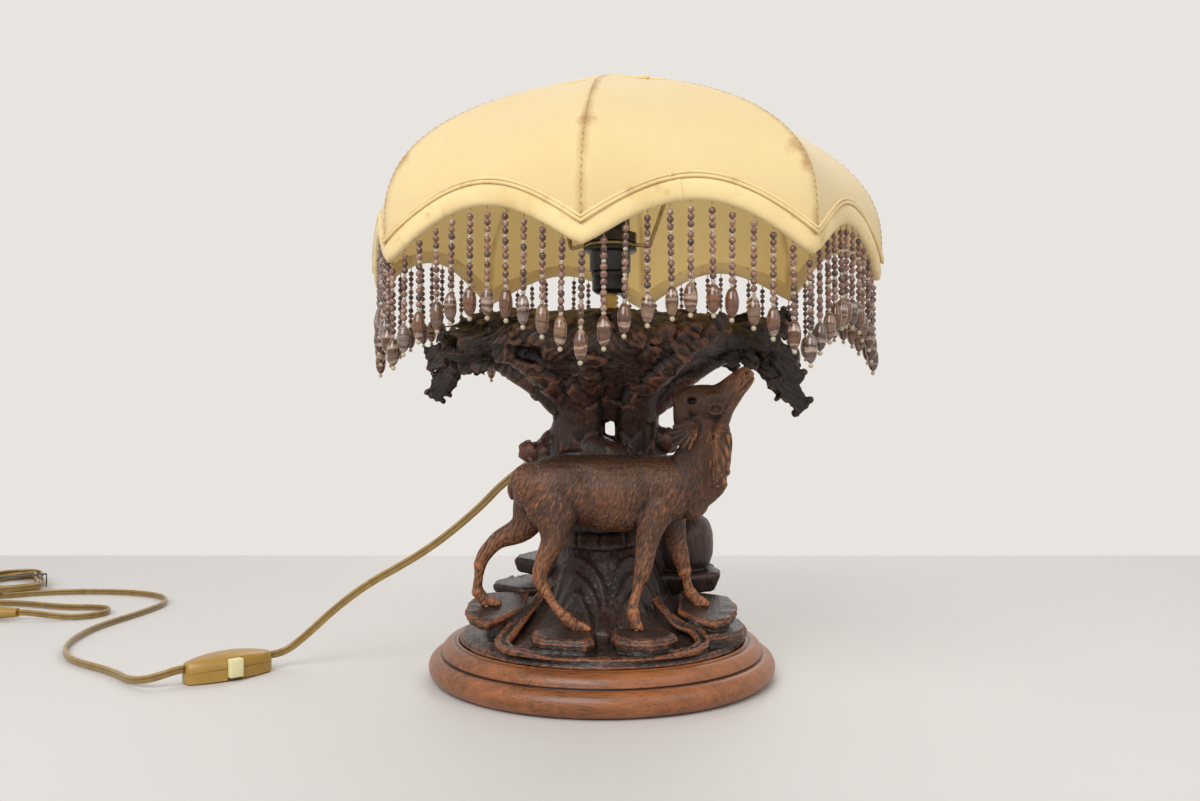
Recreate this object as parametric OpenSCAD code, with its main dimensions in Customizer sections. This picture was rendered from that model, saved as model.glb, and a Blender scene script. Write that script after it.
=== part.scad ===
// Carved wooden table lamp with a deer under a tree, a scalloped fabric shade and a bead fringe.
// Origin: centre of the base's underside. +Z is up, -Y is the front, millimetres throughout.

/* [Turned base] */
// Largest diameter of the base
base_d = 250; // [236:1:280]
// Height of the lower half-round moulding
torus_h = 17; // [14:1:20]
// Height of the upper quarter-round moulding
quarter_h = 9; // [7:1:11]
// Step from the lower to the upper moulding
moulding_step = 9; // [7:1:12]
// Diameter of the wood screws under the base
screw_d = 5; // [4:0.5:6]
// Circle on which the wood screws stand
screw_pcd = 100; // [80:1:120]

/* [Carving] */
// Height of the ground's flat top above the base
ground_h = 32; // [30:1:36]
// Height of the two front stones above the base
front_stone_h = 17.5; // [16:0.5:20]
// Height of the two side slabs above the base
side_slab_h = 28.5; // [26:0.5:29.5]
// Height of the trunk from the ground to the crown
trunk_h = 156; // [152:1:165]
// Height of the crown above the trunk
crown_h = 50; // [46:1:54]
// Depth of the nut's counterbore in the crown
counterbore_depth = 6; // [5:0.5:8]
// Diameter of the dowels between ground and trunk
trunk_dowel_d = 10; // [8:1:12]
// Diameter of the dowels between trunk and crown
crown_dowel_d = 8; // [6:1:9]
// Diameter of the pegs that hold the leaf sprays
leaf_peg_d = 5; // [4:0.5:6]
// Diameter of the dowels under the deer's hooves
hoof_dowel_d = 3; // [2:0.5:4]
// Diameter of the drilled hole left by a missing antler
antler_hole_d = 5; // [4:0.5:6]

/* [Lamp holder] */
// Offset of the holder's axis to the right of the base's axis
holder_x = 6; // [2:1:10]
// Outside diameter of the threaded pipe
pipe_d = 10; // [9:0.5:12]
// Bore of the threaded pipe
pipe_bore = 8; // [7:0.5:8.5]
// Free height of the pipe between the crown and the holder
pipe_free = 11.5; // [8:0.5:20]
// Diameter of the holder's cap
cap_d = 26.5; // [25:0.5:29]
// Height of the holder's cap
cap_h = 16; // [14:1:20]
// Diameter of the holder's body below the shoulder
body_d = 30; // [29:0.5:34]
// Height of the holder's body up to the shoulder's top
body_h = 18; // [16:1:22]
// Diameter of the shoulder and of the clamp ring
shoulder_d = 39; // [38:1:44]
// Diameter of the holder's threaded sleeve
sleeve_d = 29; // [27:0.5:29]
// Height of the threaded sleeve above the shoulder
sleeve_h = 24; // [20:1:28]
// Height of the clamp ring
clamp_h = 7; // [5:0.5:9]
// Diameter of the bulb's screw cap
bulb_cap_d = 13.8; // [13:0.1:14]
// Diameter of the bulb's glass
bulb_d = 45; // [40:1:48]

/* [Shade] */
// Offset of the shade's axis to the right of the base's axis
shade_x = 13; // [8:1:16]
// Number of panels and ribs
panels = 8; // [8]
// Turn of the front rib from the front
rib_turn = -7.7; // [-20:0.1:20]
// Corner radius of the top ring
top_r = 59; // [52:1:66]
// Largest radius at the ribs
wide_r = 185; // [178:1:190]
// How far the tips draw in below the widest place
tip_draw = 4; // [2:1:6]
// Height of the top ring above the holder's shoulder
shade_rise = 106; // [100:1:115]
// Depth of the rib tips below the holder's shoulder
shade_drop = 27; // [24:1:30]
// Rise of each panel's arch between two tips
arch_rise = 28; // [22:1:32]
// Diameter of the frame's wire
wire_d = 3; // [2.5:0.1:3.4]
// Thickness of the fabric
fabric_t = 1.2; // [0.8:0.1:1.6]
// Height of the padded rim band
band_h = 12.4; // [10:0.2:14]
// Thickness of the padded rim band
band_t = 7; // [6:0.5:8]
// Diameter of the piping cord above the band
piping_d = 2.2; // [1.6:0.1:2.6]

/* [Bead fringe] */
// Strings on each panel
strings = 11; // [9:1:12]
// Diameter of a round bead
bead_d = 4.2; // [3.6:0.1:4.6]
// Groups of three round beads on a string
groups = 3; // [2:1:4]
// Diameter of the olive bead
olive_d = 8.2; // [7:0.1:9]
// Length of the olive bead
olive_l = 17.5; // [14:0.5:20]
// Free length of thread above the first bead
thread_l = 3; // [2:0.5:5]

/* [Cord] */
// Width of the flat twin flex
flex_w = 5.6; // [5.2:0.1:6]
// Thickness of the flat twin flex
flex_t = 2.8; // [2.4:0.1:3]
// Length of the in-line switch
switch_l = 61; // [56:1:64]
// Width of the in-line switch
switch_w = 26; // [24:1:30]
// Height of the in-line switch
switch_h = 18; // [17:0.5:20]
// Wall of the switch's shells
switch_wall = 2; // [1.5:0.1:2.4]
// Width of the ivory push bar
bar_w = 10; // [8:0.5:11]
// Height of the ivory push bar
bar_h = 13; // [10:0.5:14]
// How far the push bar stands out of the switch
bar_out = 3.5; // [3:0.5:5]
// Diameter of a plug pin
pin_d = 4; // [3.8:0.1:4.8]
// Free length of a plug pin
pin_l = 19; // [18:0.5:20]
// Distance between the plug pins
pin_gap = 18.6; // [17.5:0.1:19]

/* [Hidden] */
$fn = 64;

// Clearances between fitted pieces
dowel_gap = 0.05;
seat_gap = 0.1;
run_gap = 0.3;
eps = 0.01;

// Heights of the stack, each on the one below
base_h = torus_h + quarter_h;
trunk_z = base_h + ground_h;
crown_z = trunk_z + trunk_h;
crown_seat_z = crown_z + crown_h - counterbore_depth;
holder_z = crown_z + crown_h + pipe_free;
body_z = holder_z + cap_h;
shoulder_z = body_z + body_h;
base_top_r = base_d/2 - moulding_step - quarter_h;
ground_r = base_top_r - 4;

// Wood browns, brass, black moulding, cream cloth and gold flex
wood_light = "#6e3f22";
wood_dark = "#3b2417";
wood_leaf = "#241a16";
brass = "#b08d3a";
black = "#191919";
cream = "#efd9a0";
gold = "#9a7a35";

// Point arithmetic
function xyz(p) = [p[0], p[1], p[2]];
function unit(v) = v/norm(v);
function mix(a, b, f) = a + (b - a)*f;
function smooth(f) = f*f*(3 - 2*f);

// Direction of a route at point i, the mean of its neighbours' directions
function heading(p, i, closed) =
  let (n = len(p))
  let (before = closed ? p[(i + n - 1)%n] : p[max(i - 1, 0)])
  let (after = closed ? p[(i + 1)%n] : p[min(i + 1, n - 1)])
  unit(xyz(after) - xyz(before));

// Rings of an oval section along stations [x, y, z, half along ref, half across it]
function rings(st, ref, n, closed = false) = [for (i = [0:len(st) - 1])
  let (t = heading(st, i, closed))
  let (side = unit(ref - t*(ref*t)))
  let (other = cross(t, side))
  [for (k = [0:n - 1])
    xyz(st[i]) + side*st[i][3]*cos(360*(k + 0.5)/n) + other*st[i][4]*sin(360*(k + 0.5)/n)]];

// Skin over rings of equal count, capped at both ends or closed on itself, a strip's ends in quads
module skin(r, closed = false, strip = false) {
  m = len(r);
  n = len(r[0]);
  steps = closed ? m - 1 : m - 2;
  walls = [for (j = [0:steps], i = [0:n - 1])
    let (a = j*n + i)
    let (b = j*n + (i + 1)%n)
    let (c = ((j + 1)%m)*n + i)
    let (d = ((j + 1)%m)*n + (i + 1)%n)
    each [[a, c, b], [b, c, d]]];
  last = (m - 1)*n;
  discs = [[for (i = [0:n - 1]) i], [for (i = [n - 1:-1:0]) last + i]];
  strips = [for (i = [0:n/2 - 2]) each [[i, i + 1, n - 2 - i], [i, n - 2 - i, n - 1 - i],
    [last + i, last + n - 2 - i, last + i + 1], [last + i, last + n - 1 - i, last + n - 2 - i]]];
  caps = closed ? [] : strip ? strips : discs;
  polyhedron([for (ring = r) each ring], concat(walls, caps));
}

// Limb of a carving whose stations lie near the XZ plane
module limb(st, n = 10) {
  skin(rings(st, [0, 1, 0], n));
}

module up(h) {
  translate([0, 0, h]) children();
}

// Straight round bar from point a to point b
module bar(a, b, d) {
  v = b - a;
  translate(a) rotate([0, acos(v[2]/norm(v)), atan2(v[1], v[0])]) cylinder(h = norm(v), d = d);
}

// Turned base: flat core, half-round below and quarter-round above
module base_profile() {
  half_r = torus_h/2;
  square([base_d/2 - half_r, torus_h]);
  translate([base_d/2 - half_r, half_r]) circle(r = half_r);
  square([base_top_r, base_h]);
  translate([base_top_r, torus_h]) intersection() {
    circle(r = quarter_h);
    square(quarter_h);
  }
}

// Wood screw shape, head flush with the underside, with a gap all round for its hole
screw_head_d = 2*screw_d;
screw_head_h = screw_d/2;
screw_sink = 1;
screw_reach = base_h + 16;
module screw_shapes(gap) {
  for (k = [0:2])
    rotate([0, 0, 120*k + 90]) translate([screw_pcd/2, 0, 0]) rotate_extrude() polygon([
      [0, screw_sink], [screw_head_d/2 + gap, screw_sink],
      [screw_d/2 + gap, screw_sink + screw_head_h], [screw_d/2 + gap, screw_reach], [0, screw_reach]]);
}

module turned_base() {
  color(wood_light) difference() {
    rotate_extrude($fn = 128) base_profile();
    screw_shapes(dowel_gap);
    for (k = [0:2])
      rotate([0, 0, 120*k + 90]) translate([screw_pcd/2, 0, -eps])
        cylinder(h = screw_sink + 2*eps, d = screw_head_d + 2*dowel_gap);
  }
}

module base_screws() {
  color("silver") screw_shapes(0);
}

// Rocky ground: a mound of rings [radius, height, x, y], two front stones and two side slabs
ground_sides = 28;
ground_rings = [[ground_r, 0, 0, 0], [ground_r, 5, 0, 0], [ground_r - 11, 10, 0, 2],
  [ground_r - 27, 15, 1, 10], [58, ground_h - 4, 3, 16], [54, ground_h, 4, 18]];
left_stone = [[-47, -66], [-40, -88], [-9, -93], [-4, -84], [-8, -60], [-30, -56]];
right_stone = [[6, -60], [5, -84], [20, -93], [44, -88], [50, -74], [40, -58]];
left_slab = [[-97, -36], [-80, -56], [-58, -46], [-56, -8], [-92, -10]];
right_slab = [[78, -54], [95, -38], [96, -14], [60, -8], [52, -44]];
stone_t = 11;
slab_t = 13;

module slab(outline, top, thick) {
  up(top - thick) linear_extrude(thick) polygon(outline);
}

module rocky_ground() {
  color(wood_dark) difference() {
    up(base_h) union() {
      skin([for (g = ground_rings) [for (k = [0:ground_sides - 1])
        let (a = k*360/ground_sides)
        let (r = g[0]*min(1, 1 + 0.02*sin(3*a + 9*g[1])))
        [g[2] + r*cos(a), g[3] + r*sin(a), g[1]]]]);
      slab(left_stone, front_stone_h, stone_t);
      slab(right_stone, front_stone_h, stone_t);
      slab(left_slab, side_slab_h, slab_t);
      slab(right_slab, side_slab_h, slab_t);
    }
    screw_shapes(dowel_gap);
    trunk_dowel_shapes(dowel_gap);
    hoof_dowel_shapes(dowel_gap);
  }
}

// Dowels between ground and trunk
trunk_dowel_l = 30;
module trunk_dowel_shapes(gap) {
  for (x = [-16, 26])
    translate([x, 20, trunk_z - trunk_dowel_l/2 - gap])
      cylinder(h = trunk_dowel_l + 2*gap, d = trunk_dowel_d + 2*gap);
}

module trunk_dowels() {
  color("burlywood") trunk_dowel_shapes(0);
}

// Tree trunk: stump, root flare, two stems and the trunk above them, heights above the trunk's seat.
// The stems and the fork hang from the trunk's top, and the stump keeps its height.
stump = [[4, 18, 0, 32, 50], [4, 18, 5, 31.5, 49], [6, 17, 32, 28, 44], [5, 16, 62, 27, 43], [2, 15, 84, 27, 50],
  [-2, 14, 97, 25, 57], [-2, 13, 104, 21, 52], [0, 13, 110, 16, 40]];
left_stem = [[-22, 12, trunk_h - 68, 20, 26], [-23, 11, trunk_h - 46, 19, 21], [-19, 9, trunk_h - 32, 18, 18.5],
  [-12, 6, trunk_h - 19, 19, 20], [-8, 4, trunk_h - 10, 20, 20]];
right_stem = [[30, 12, trunk_h - 68, 18, 20], [28, 11, trunk_h - 46, 17, 16.5], [26, 9, trunk_h - 32, 17, 16],
  [22, 6, trunk_h - 19, 18, 18], [18, 4, trunk_h - 10, 18, 18]];
fork = [for (s = [[28, 18, 33], [18, 24, 41], [9, 32, 50], [3, 39, 58], [0, 42, 61]])
  [6, 2, trunk_h - s[0], s[1], s[2]]];
right_ledge = [[40, -6], [88, -4], [84, 30], [50, 42]];
left_ledge = [[-30, -4], [-81, 2], [-66, 30], [-30, 40]];
upper_ledge = [[-25, -2], [-66, 4], [-50, 32], [-20, 36]];
right_ledge_h = 15;
left_ledge_h = 5;
upper_ledge_h = 25;
upper_ledge_t = 11;
boulder = [[60, 16, 12, 12, 12], [60, 16, 18, 19, 19], [60, 16, 30, 23, 23], [60, 16, 42, 22, 22],
  [59, 16, 52, 15, 15], [58, 16, 57, 6, 6]];

// Wire way: from the cord's exit on the left of the flare up to the pipe
exit_x = -50;
exit_slope = 38;
way_d = 9;
way_depth = 16;
way_over = 4;
slant_d = way_d - 1;
exit_dir = [-cos(exit_slope), 0, -sin(exit_slope)];
way_top = [holder_x, 0, crown_z - way_depth];
exit_at = way_top + exit_dir*((holder_x - exit_x)/cos(exit_slope));
clear_l = 30;
bush_d = 14;
bush_neck_d = 11;
bush_flange = 2.5;
bush_l = 12;
bush_face = exit_at + exit_dir*bush_flange;
pipe_depth = 12;
pipe_bottom_z = crown_z - pipe_depth;

module tree_trunk() {
  color(wood_dark) difference() {
    up(trunk_z) union() {
      limb(stump, 16);
      limb(left_stem, 12);
      limb(right_stem, 12);
      limb(fork, 16);
      slab(right_ledge, right_ledge_h, right_ledge_h);
      slab(left_ledge, left_ledge_h, left_ledge_h);
      slab(upper_ledge, upper_ledge_h, upper_ledge_t);
      limb(boulder, 12);
    }
    trunk_dowel_shapes(dowel_gap);
    crown_dowel_shapes(dowel_gap);
    bar(way_top, exit_at, slant_d);
    bar(exit_at, exit_at + exit_dir*clear_l, bush_d + 4);
    bar(exit_at - exit_dir*(bush_l + dowel_gap), exit_at + exit_dir*eps, bush_neck_d + 2*dowel_gap);
    on_holder(crown_z - way_depth - way_over) cylinder(h = way_depth + way_over + eps, d = way_d);
    on_holder(pipe_bottom_z) cylinder(h = pipe_depth + eps, d = pipe_d + 2*dowel_gap);
  }
}

// Dowels between trunk and crown
crown_dowel_l = 22;
module crown_dowel_shapes(gap) {
  for (x = [-30, 42])
    translate([x, 2, crown_z - crown_dowel_l/2 - gap])
      cylinder(h = crown_dowel_l + 2*gap, d = crown_dowel_d + 2*gap);
}

module crown_dowels() {
  color("burlywood") crown_dowel_shapes(0);
}

// Tree crown: a broad loft from left to right, heights above the trunk, with a flat seat on it
crown_left = -104;
crown_right = 112;
crown_mid = crown_h/2 - 2;
crown_half = crown_h/2 + 3;
crown = [[crown_left, 0, 19, 20, 11], [-96, 0, 19, 34, 16], [-74, 0, 25, 50, 21],
  [-40, 0, crown_mid, 58, crown_half - 2], [0, 0, crown_mid, 60, crown_half],
  [40, 0, crown_mid, 58, crown_half], [75, 0, 25, 50, 19], [98, 0, 26, 36, 16], [crown_right, 0, 26, 20, 12]];

module tree_crown() {
  color(wood_leaf) difference() {
    up(crown_z) intersection() {
      limb(crown, 16);
      translate([-base_d, -base_d/2, 0]) cube([2*base_d, base_d, crown_h]);
    }
    on_holder(crown_seat_z) cylinder(h = counterbore_depth + eps, d = washer_d + 2);
    on_holder(crown_z - eps) cylinder(h = crown_h, d = pipe_d + 2*dowel_gap);
    crown_dowel_shapes(dowel_gap);
    leaf_peg_shapes(dowel_gap);
  }
}

// Leaf sprays: flat leaves that fan out from a stub on the crown's end, heights above the trunk
left_stub = [[crown_left, 0, 19, 15, 8], [-110, 0, 18, 14, 8], [-116, 0, 16, 9, 6]];
left_leaves = [
  [[-106, 0, 18, 8, 5], [-116, -4, 2, 11, 3], [-122, -6, -8, 9, 2.4], [-129, -7, -16, 3, 1.4]],
  [[-106, 2, 20, 8, 5], [-118, 6, 18, 12, 3], [-126, 8, 16, 9, 2.4], [-131, 9, 13, 3, 1.4]],
  [[-104.5, -2, 20, 8, 5], [-114, -10, 26, 12, 3], [-122, -14, 24, 9, 2.4], [-128, -16, 20, 3, 1.4]],
  [[-104.5, 0, 22, 8, 5], [-110, 6, 31, 11, 3], [-116, 8, 34, 8, 2.4], [-122, 9, 34, 3, 1.4]],
  [[-105, 4, 16, 8, 5], [-110, 14, 6, 11, 3], [-114, 18, -4, 8, 2.4], [-117, 20, -14, 3, 1.4]]];
right_stub = [[crown_right, 0, 26, 15, 9], [119, 0, 24, 14, 8], [126, 0, 20, 9, 6]];
right_leaves = [
  [[114, 0, 22, 8, 5], [126, -6, 8, 12, 3], [138, -8, -8, 9, 2.4], [148, -9, -21, 3, 1.4]],
  [[114, 2, 24, 8, 5], [128, 6, 22, 12, 3], [138, 8, 14, 9, 2.4], [145, 9, 6, 3, 1.4]],
  [[113, -2, 28, 8, 5], [124, -10, 33, 12, 3], [134, -12, 32, 9, 2.4], [142, -12, 26, 3, 1.4]],
  [[113, 0, 30, 8, 5], [122, 6, 40, 11, 3], [131, 8, 47, 8, 2.4], [139, 8, 54, 3, 1.4]],
  [[114, 4, 22, 8, 5], [122, 14, 8, 11, 3], [130, 18, -4, 8, 2.4], [136, 20, -14, 3, 1.4]]];

module leaf_spray(stub, leaves) {
  color(wood_leaf) difference() {
    up(crown_z) union() {
      limb(stub, 8);
      for (leaf = leaves) limb(leaf, 8);
    }
    translate([crown_left, -base_d/2, crown_z - crown_h]) cube([crown_right - crown_left, base_d, 4*crown_h]);
    leaf_peg_shapes(dowel_gap);
  }
}

module left_leaf_spray() {
  leaf_spray(left_stub, left_leaves);
}

module right_leaf_spray() {
  leaf_spray(right_stub, right_leaves);
}

leaf_peg_l = 16;
module leaf_peg_shapes(gap) {
  for (p = [[crown_left, 19], [crown_right, 26]])
    translate([p[0] - leaf_peg_l/2 - gap, 0, crown_z + p[1]]) rotate([0, 90, 0])
      cylinder(h = leaf_peg_l + 2*gap, d = leaf_peg_d + 2*gap);
}

module leaf_pegs() {
  color("burlywood") leaf_peg_shapes(0);
}

// Deer, heights above the base: body, neck, head, ears, tail and four legs that end flat on the stones
deer_body = [[-63, -42, 117, 4, 4], [-58, -42, 115, 11, 12], [-47, -42, 110, 17, 19.5],
  [-30, -42, 109, 19, 21.5], [-8, -42, 107, 18.5, 24], [12, -42, 106.5, 18.5, 24.5],
  [32, -42, 108.5, 18, 22.5], [48, -42, 111.5, 17, 20], [62, -43, 114, 15, 17], [74, -44, 118, 12, 13],
  [83, -45, 123, 8, 8]];
deer_neck = [[60, -44, 110, 13, 20], [66, -45, 126, 14, 20], [71, -47, 140, 13, 18],
  [71, -49, 153, 12, 17], [68, -50, 165, 11, 15]];
deer_head = [[49, -50, 162, 6, 6], [57, -50, 166, 11, 13.5], [68, -51, 169.5, 12, 15.5],
  [79, -52, 174.5, 11, 13], [88, -53, 181, 8.5, 9], [95, -54, 186, 7, 7], [100, -54, 189.5, 5.5, 5]];
near_ear = [[64, -60, 160, 3, 3], [58, -63, 155, 3.5, 8], [51, -65, 149, 3, 8.5], [45, -66, 144, 2, 3]];
far_ear = [[62, -40, 162, 3, 3], [55, -36, 158, 3.5, 8], [48, -34, 153, 3, 8.5], [42, -33, 149, 2, 3]];
deer_tail = [[-58, -42, 122, 5, 5], [-66, -42, 116, 5, 4], [-70, -42, 108, 3, 3]];

hoof = [4.6, 5.6];
near_hind_joints = [[-34, -50, 106, 12, 18], [-32, -54, 91, 9, 14.5], [-33, -57, 76, 7, 9],
  [-41, -60, 59, 5, 6], [-42, -61, 52, 4.6, 5.4], [-35.5, -63, 39.5, 3.6, 4], [-25, -66, 26, 3.8, 4.2],
  [-15, -68, front_stone_h + 5, 4.6, 5]];
far_hind_joints = [[-44, -36, 104, 10, 16], [-56, -32, 82, 7, 10], [-75, -31, 71.5, 5, 6],
  [-84, -31, 60, 4, 4.6], [-86.5, -31, 48, 3.6, 4], [-87, -31, side_slab_h + 9, 3.8, 4.4],
  [-81, -31, side_slab_h + 4.5, 4.4, 5]];
near_fore_joints = [[38, -50, 102, 12, 15], [33, -54, 87, 8, 10], [30, -57, 72, 6, 7.2],
  [27.5, -60, 57, 5, 5.6], [23, -63, 42, 3.6, 4], [20.5, -66, 30, 3.8, 4.4],
  [23, -68, front_stone_h + 5, 4.6, 5]];
far_fore_joints = [[48, -36, 98, 9, 12], [51, -33, 79, 6, 7.5], [56, -32, 57, 4.8, 5.4],
  [59.5, -32, 43, 3.6, 4], [62, -32, side_slab_h + 8, 3.8, 4.4],
  [68, -32, side_slab_h + 4.5, 4.4, 5]];
function leg_on(st, top) = concat(st, [concat([st[len(st) - 1][0], st[len(st) - 1][1], top], hoof)]);
near_hind = leg_on(near_hind_joints, front_stone_h);
far_hind = leg_on(far_hind_joints, side_slab_h);
near_fore = leg_on(near_fore_joints, front_stone_h);
far_fore = leg_on(far_fore_joints, side_slab_h);
hooves = [for (leg = [near_hind, far_hind, near_fore, far_fore]) xyz(leg[len(leg) - 1])];
antler_at = [60, -61, 171];

module deer() {
  color(wood_light) difference() {
    up(base_h) union() {
      limb(deer_body, 14);
      limb(deer_neck, 12);
      limb(deer_head, 12);
      limb(near_ear, 8);
      limb(far_ear, 8);
      limb(deer_tail, 8);
      for (leg = [near_hind, far_hind, near_fore, far_fore]) limb(leg, 10);
    }
    up(base_h) bar(antler_at - [0, 4, 0], antler_at + [0, 7, 0], antler_hole_d);
    hoof_dowel_shapes(dowel_gap);
  }
}

hoof_dowel_l = 12;
hoof_dowel_up = 4;
module hoof_dowel_shapes(gap) {
  for (h = hooves)
    translate(h + [0, 0, base_h + hoof_dowel_up - hoof_dowel_l - gap])
      cylinder(h = hoof_dowel_l + 2*gap, d = hoof_dowel_d + 2*gap, $fn = 32);
}

module hoof_dowels() {
  color("burlywood") hoof_dowel_shapes(0);
}

// Threaded pipe with its washer and nut on the crown
washer_d = 20;
washer_t = 1.5;
nut_t = 4;
nut_d = 16;
pipe_grip = 5;

module on_holder(z) {
  translate([holder_x, 0, z]) children();
}

module tube(h, outer, bore) {
  difference() {
    cylinder(h = h, d = outer);
    up(-eps) cylinder(h = h + 2*eps, d = bore);
  }
}

module threaded_pipe() {
  color(brass) on_holder(pipe_bottom_z) tube(holder_z + pipe_grip - pipe_bottom_z, pipe_d, pipe_bore);
}

module pipe_washer() {
  color(brass) on_holder(crown_seat_z) tube(washer_t, washer_d, pipe_d + 2*seat_gap);
}

module pipe_nut() {
  color(brass) on_holder(crown_seat_z + washer_t) difference() {
    cylinder(h = nut_t, d = nut_d, $fn = 6);
    up(-eps) cylinder(h = nut_t + 2*eps, d = pipe_d + 2*seat_gap);
  }
}

// Flex inside the trunk and pipe, from the bush to the holder's cap
flex_end_z = holder_z + pipe_grip + 3;
inner_route = [bush_face, mix(exit_at, way_top, 0.35), mix(exit_at, way_top, 0.7),
  mix(exit_at, way_top, 0.86), way_top + [-3.2, 0, -1.4], way_top + [-0.9, 0, 4], way_top + [0, 0, 12],
  way_top + [0, 0, 40], [holder_x, 0, flex_end_z - 8], [holder_x, 0, flex_end_z]];

module inner_flex() {
  color(gold) limb([for (p = inner_route) [p[0], p[1], p[2], flex_t/2, flex_w/2]], 8);
}

module cord_bush() {
  color("saddlebrown") difference() {
    union() {
      bar(exit_at, bush_face, bush_d);
      bar(exit_at - exit_dir*bush_l, exit_at + exit_dir*eps, bush_neck_d);
    }
    bar(exit_at - exit_dir*(bush_l + 1), bush_face + exit_dir, flex_w + 2*seat_gap);
  }
}

// Lamp holder: cap, sleeve with shoulder, insert, screw shell, contact and terminal screws
holder_wall = 2;
cap_floor = 5.4;
cap_bevel = 3;
shoulder_t = 3.2;
insert_h = 10;
insert_gap = 1.5;
shell_wall = 0.6;
shell_gap = 0.2;
shell_h = 24;
contact_t = 1;
sleeve_bore = sleeve_d - 2*holder_wall;
insert_z = body_z + insert_gap;
shell_z = insert_z + insert_h;
shell_bore = bulb_cap_d + 2*shell_gap;

module holder_cap() {
  color(black) on_holder(holder_z) rotate_extrude() polygon([
    [pipe_d/2 + seat_gap, 0], [cap_d/2 - cap_bevel, 0], [cap_d/2, cap_bevel], [cap_d/2, cap_h],
    [cap_d/2 - holder_wall, cap_h], [cap_d/2 - holder_wall, cap_floor], [pipe_d/2 + seat_gap, cap_floor]]);
}

module holder_sleeve() {
  rest_r = cap_d/2 - holder_wall - 0.5;
  color(black) on_holder(body_z) rotate_extrude() polygon([
    [rest_r, 0], [body_d/2, 0], [body_d/2, body_h - shoulder_t], [shoulder_d/2, body_h - shoulder_t],
    [shoulder_d/2, body_h], [sleeve_d/2, body_h], [sleeve_d/2, body_h + sleeve_h],
    [sleeve_bore/2, body_h + sleeve_h], [sleeve_bore/2, insert_gap], [rest_r, insert_gap]]);
}

terminal_r = 8.8;
terminal_d = 3;
terminal_l = 8;
module terminal_shapes(gap) {
  for (k = [0, 1])
    on_holder(insert_z - 0.4 - gap) rotate([0, 0, 180*k]) translate([terminal_r, 0, 0])
      cylinder(h = terminal_l + 2*gap, d = terminal_d + 2*gap, $fn = 32);
}

module holder_insert() {
  color("ivory") difference() {
    on_holder(insert_z) tube(insert_h, sleeve_bore - 2*seat_gap, 4);
    terminal_shapes(dowel_gap);
  }
}

module terminal_screws() {
  color(brass) terminal_shapes(0);
}

module screw_shell() {
  color(brass) on_holder(shell_z) tube(shell_h, shell_bore + 2*shell_wall, shell_bore);
}

module centre_contact() {
  color(brass) on_holder(shell_z) cylinder(h = contact_t, d = 8);
}

module clamp_ring() {
  color(black) on_holder(shoulder_z + wire_d + 2*seat_gap) difference() {
    cylinder(h = clamp_h, d = shoulder_d);
    up(-eps) cylinder(h = clamp_h + 2*eps, d = sleeve_d + 2*seat_gap);
    for (k = [0:11])
      rotate([0, 0, 30*k]) translate([shoulder_d/2 + 1, 0, 1.5]) cylinder(h = clamp_h, d = 3.4, $fn = 24);
  }
}

// Bulb: contact stud, screw cap and ball-shaped glass
bulb_stud = 1.6;
bulb_cap_h = 23;
bulb_neck_d = 17;
bulb_wall = 0.8;
bulb_z = shell_z + contact_t + seat_gap;
bulb_ball_z = bulb_z + bulb_stud + bulb_cap_h + bulb_d/2 + 4;

module bulb_contact() {
  color("silver") on_holder(bulb_z) cylinder(h = bulb_stud, d = 6);
}

module bulb_cap() {
  color(brass) on_holder(bulb_z + bulb_stud) cylinder(h = bulb_cap_h, d = bulb_cap_d);
}

module bulb_outline(inset) {
  foot = bulb_z + bulb_stud + bulb_cap_h;
  translate([0, bulb_ball_z]) circle(d = bulb_d - 2*inset);
  translate([0, foot]) square([bulb_neck_d/2 - inset, bulb_ball_z - foot]);
}

module bulb_glass() {
  color("white") on_holder(0) rotate_extrude() intersection() {
    difference() {
      bulb_outline(0);
      translate([0, bulb_wall]) bulb_outline(bulb_wall);
    }
    square([bulb_d, bulb_ball_z + bulb_d]);
  }
}

// Shade surface: radius of a rib at height h above the shoulder, and the way out of it
wide_h = -4;
curve_power = 2.45;
function rib_r(h) = h > wide_h
  ? wide_r - (wide_r - top_r)*pow(min(1.02, (h - wide_h)/(shade_rise - wide_h)), curve_power)
  : wide_r - tip_draw*pow((wide_h - h)/(shade_drop + wide_h), 2);
function rib_out(h) = unit([1, rib_r(h - 0.5) - rib_r(h + 0.5)]);

// Point of panel k at share a of its width, height h, set out by o from the middle of the wire
function rib_dir(k) = [sin(rib_turn + 360*k/panels), -cos(rib_turn + 360*k/panels), 0];
function shade_at(k, a, h, o) =
  let (n = rib_out(h))
  let (r = rib_r(h) + n[0]*o)
  mix(rib_dir(k), rib_dir(k + 1), a)*r + [shade_x, 0, shoulder_z + h + n[1]*o];
function rim_h(a) = -shade_drop + arch_rise*sin(180*a);

// Panels of cloth between two offsets from the wire, from the given top to the rim band
across = 6;
along = 8;
panel_gap = 0.15;
foot_gap = 0.4;
row_power = 1.4;
function row_h(a, j) = mix(shade_rise, rim_h(a) + band_h + foot_gap, pow(j/along, row_power));
function panel_row(k, j, o) = [for (i = [0:across])
  let (a = i/across)
  let (edge = i == 0 ? panel_gap/wide_r : i == across ? 1 - panel_gap/wide_r : a)
  shade_at(k, edge, row_h(a, j), o)];

module panel(k, near, far, first) {
  skin([for (j = [along:-1:first])
    concat(panel_row(k, j, far), [for (i = [across:-1:0]) panel_row(k, j, near)[i]])],
    strip = true);
}

cloth_gap = 0.2;
cloth_in = wire_d/2 + cloth_gap;
cloth_out = cloth_in + fabric_t;
module shade_cover() {
  color(cream) for (k = [0:panels - 1]) panel(k, cloth_in, cloth_out, 0);
}

module shade_lining() {
  color(cream) for (k = [0:panels - 1]) panel(k, -cloth_out, -cloth_in, 1);
}

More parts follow.
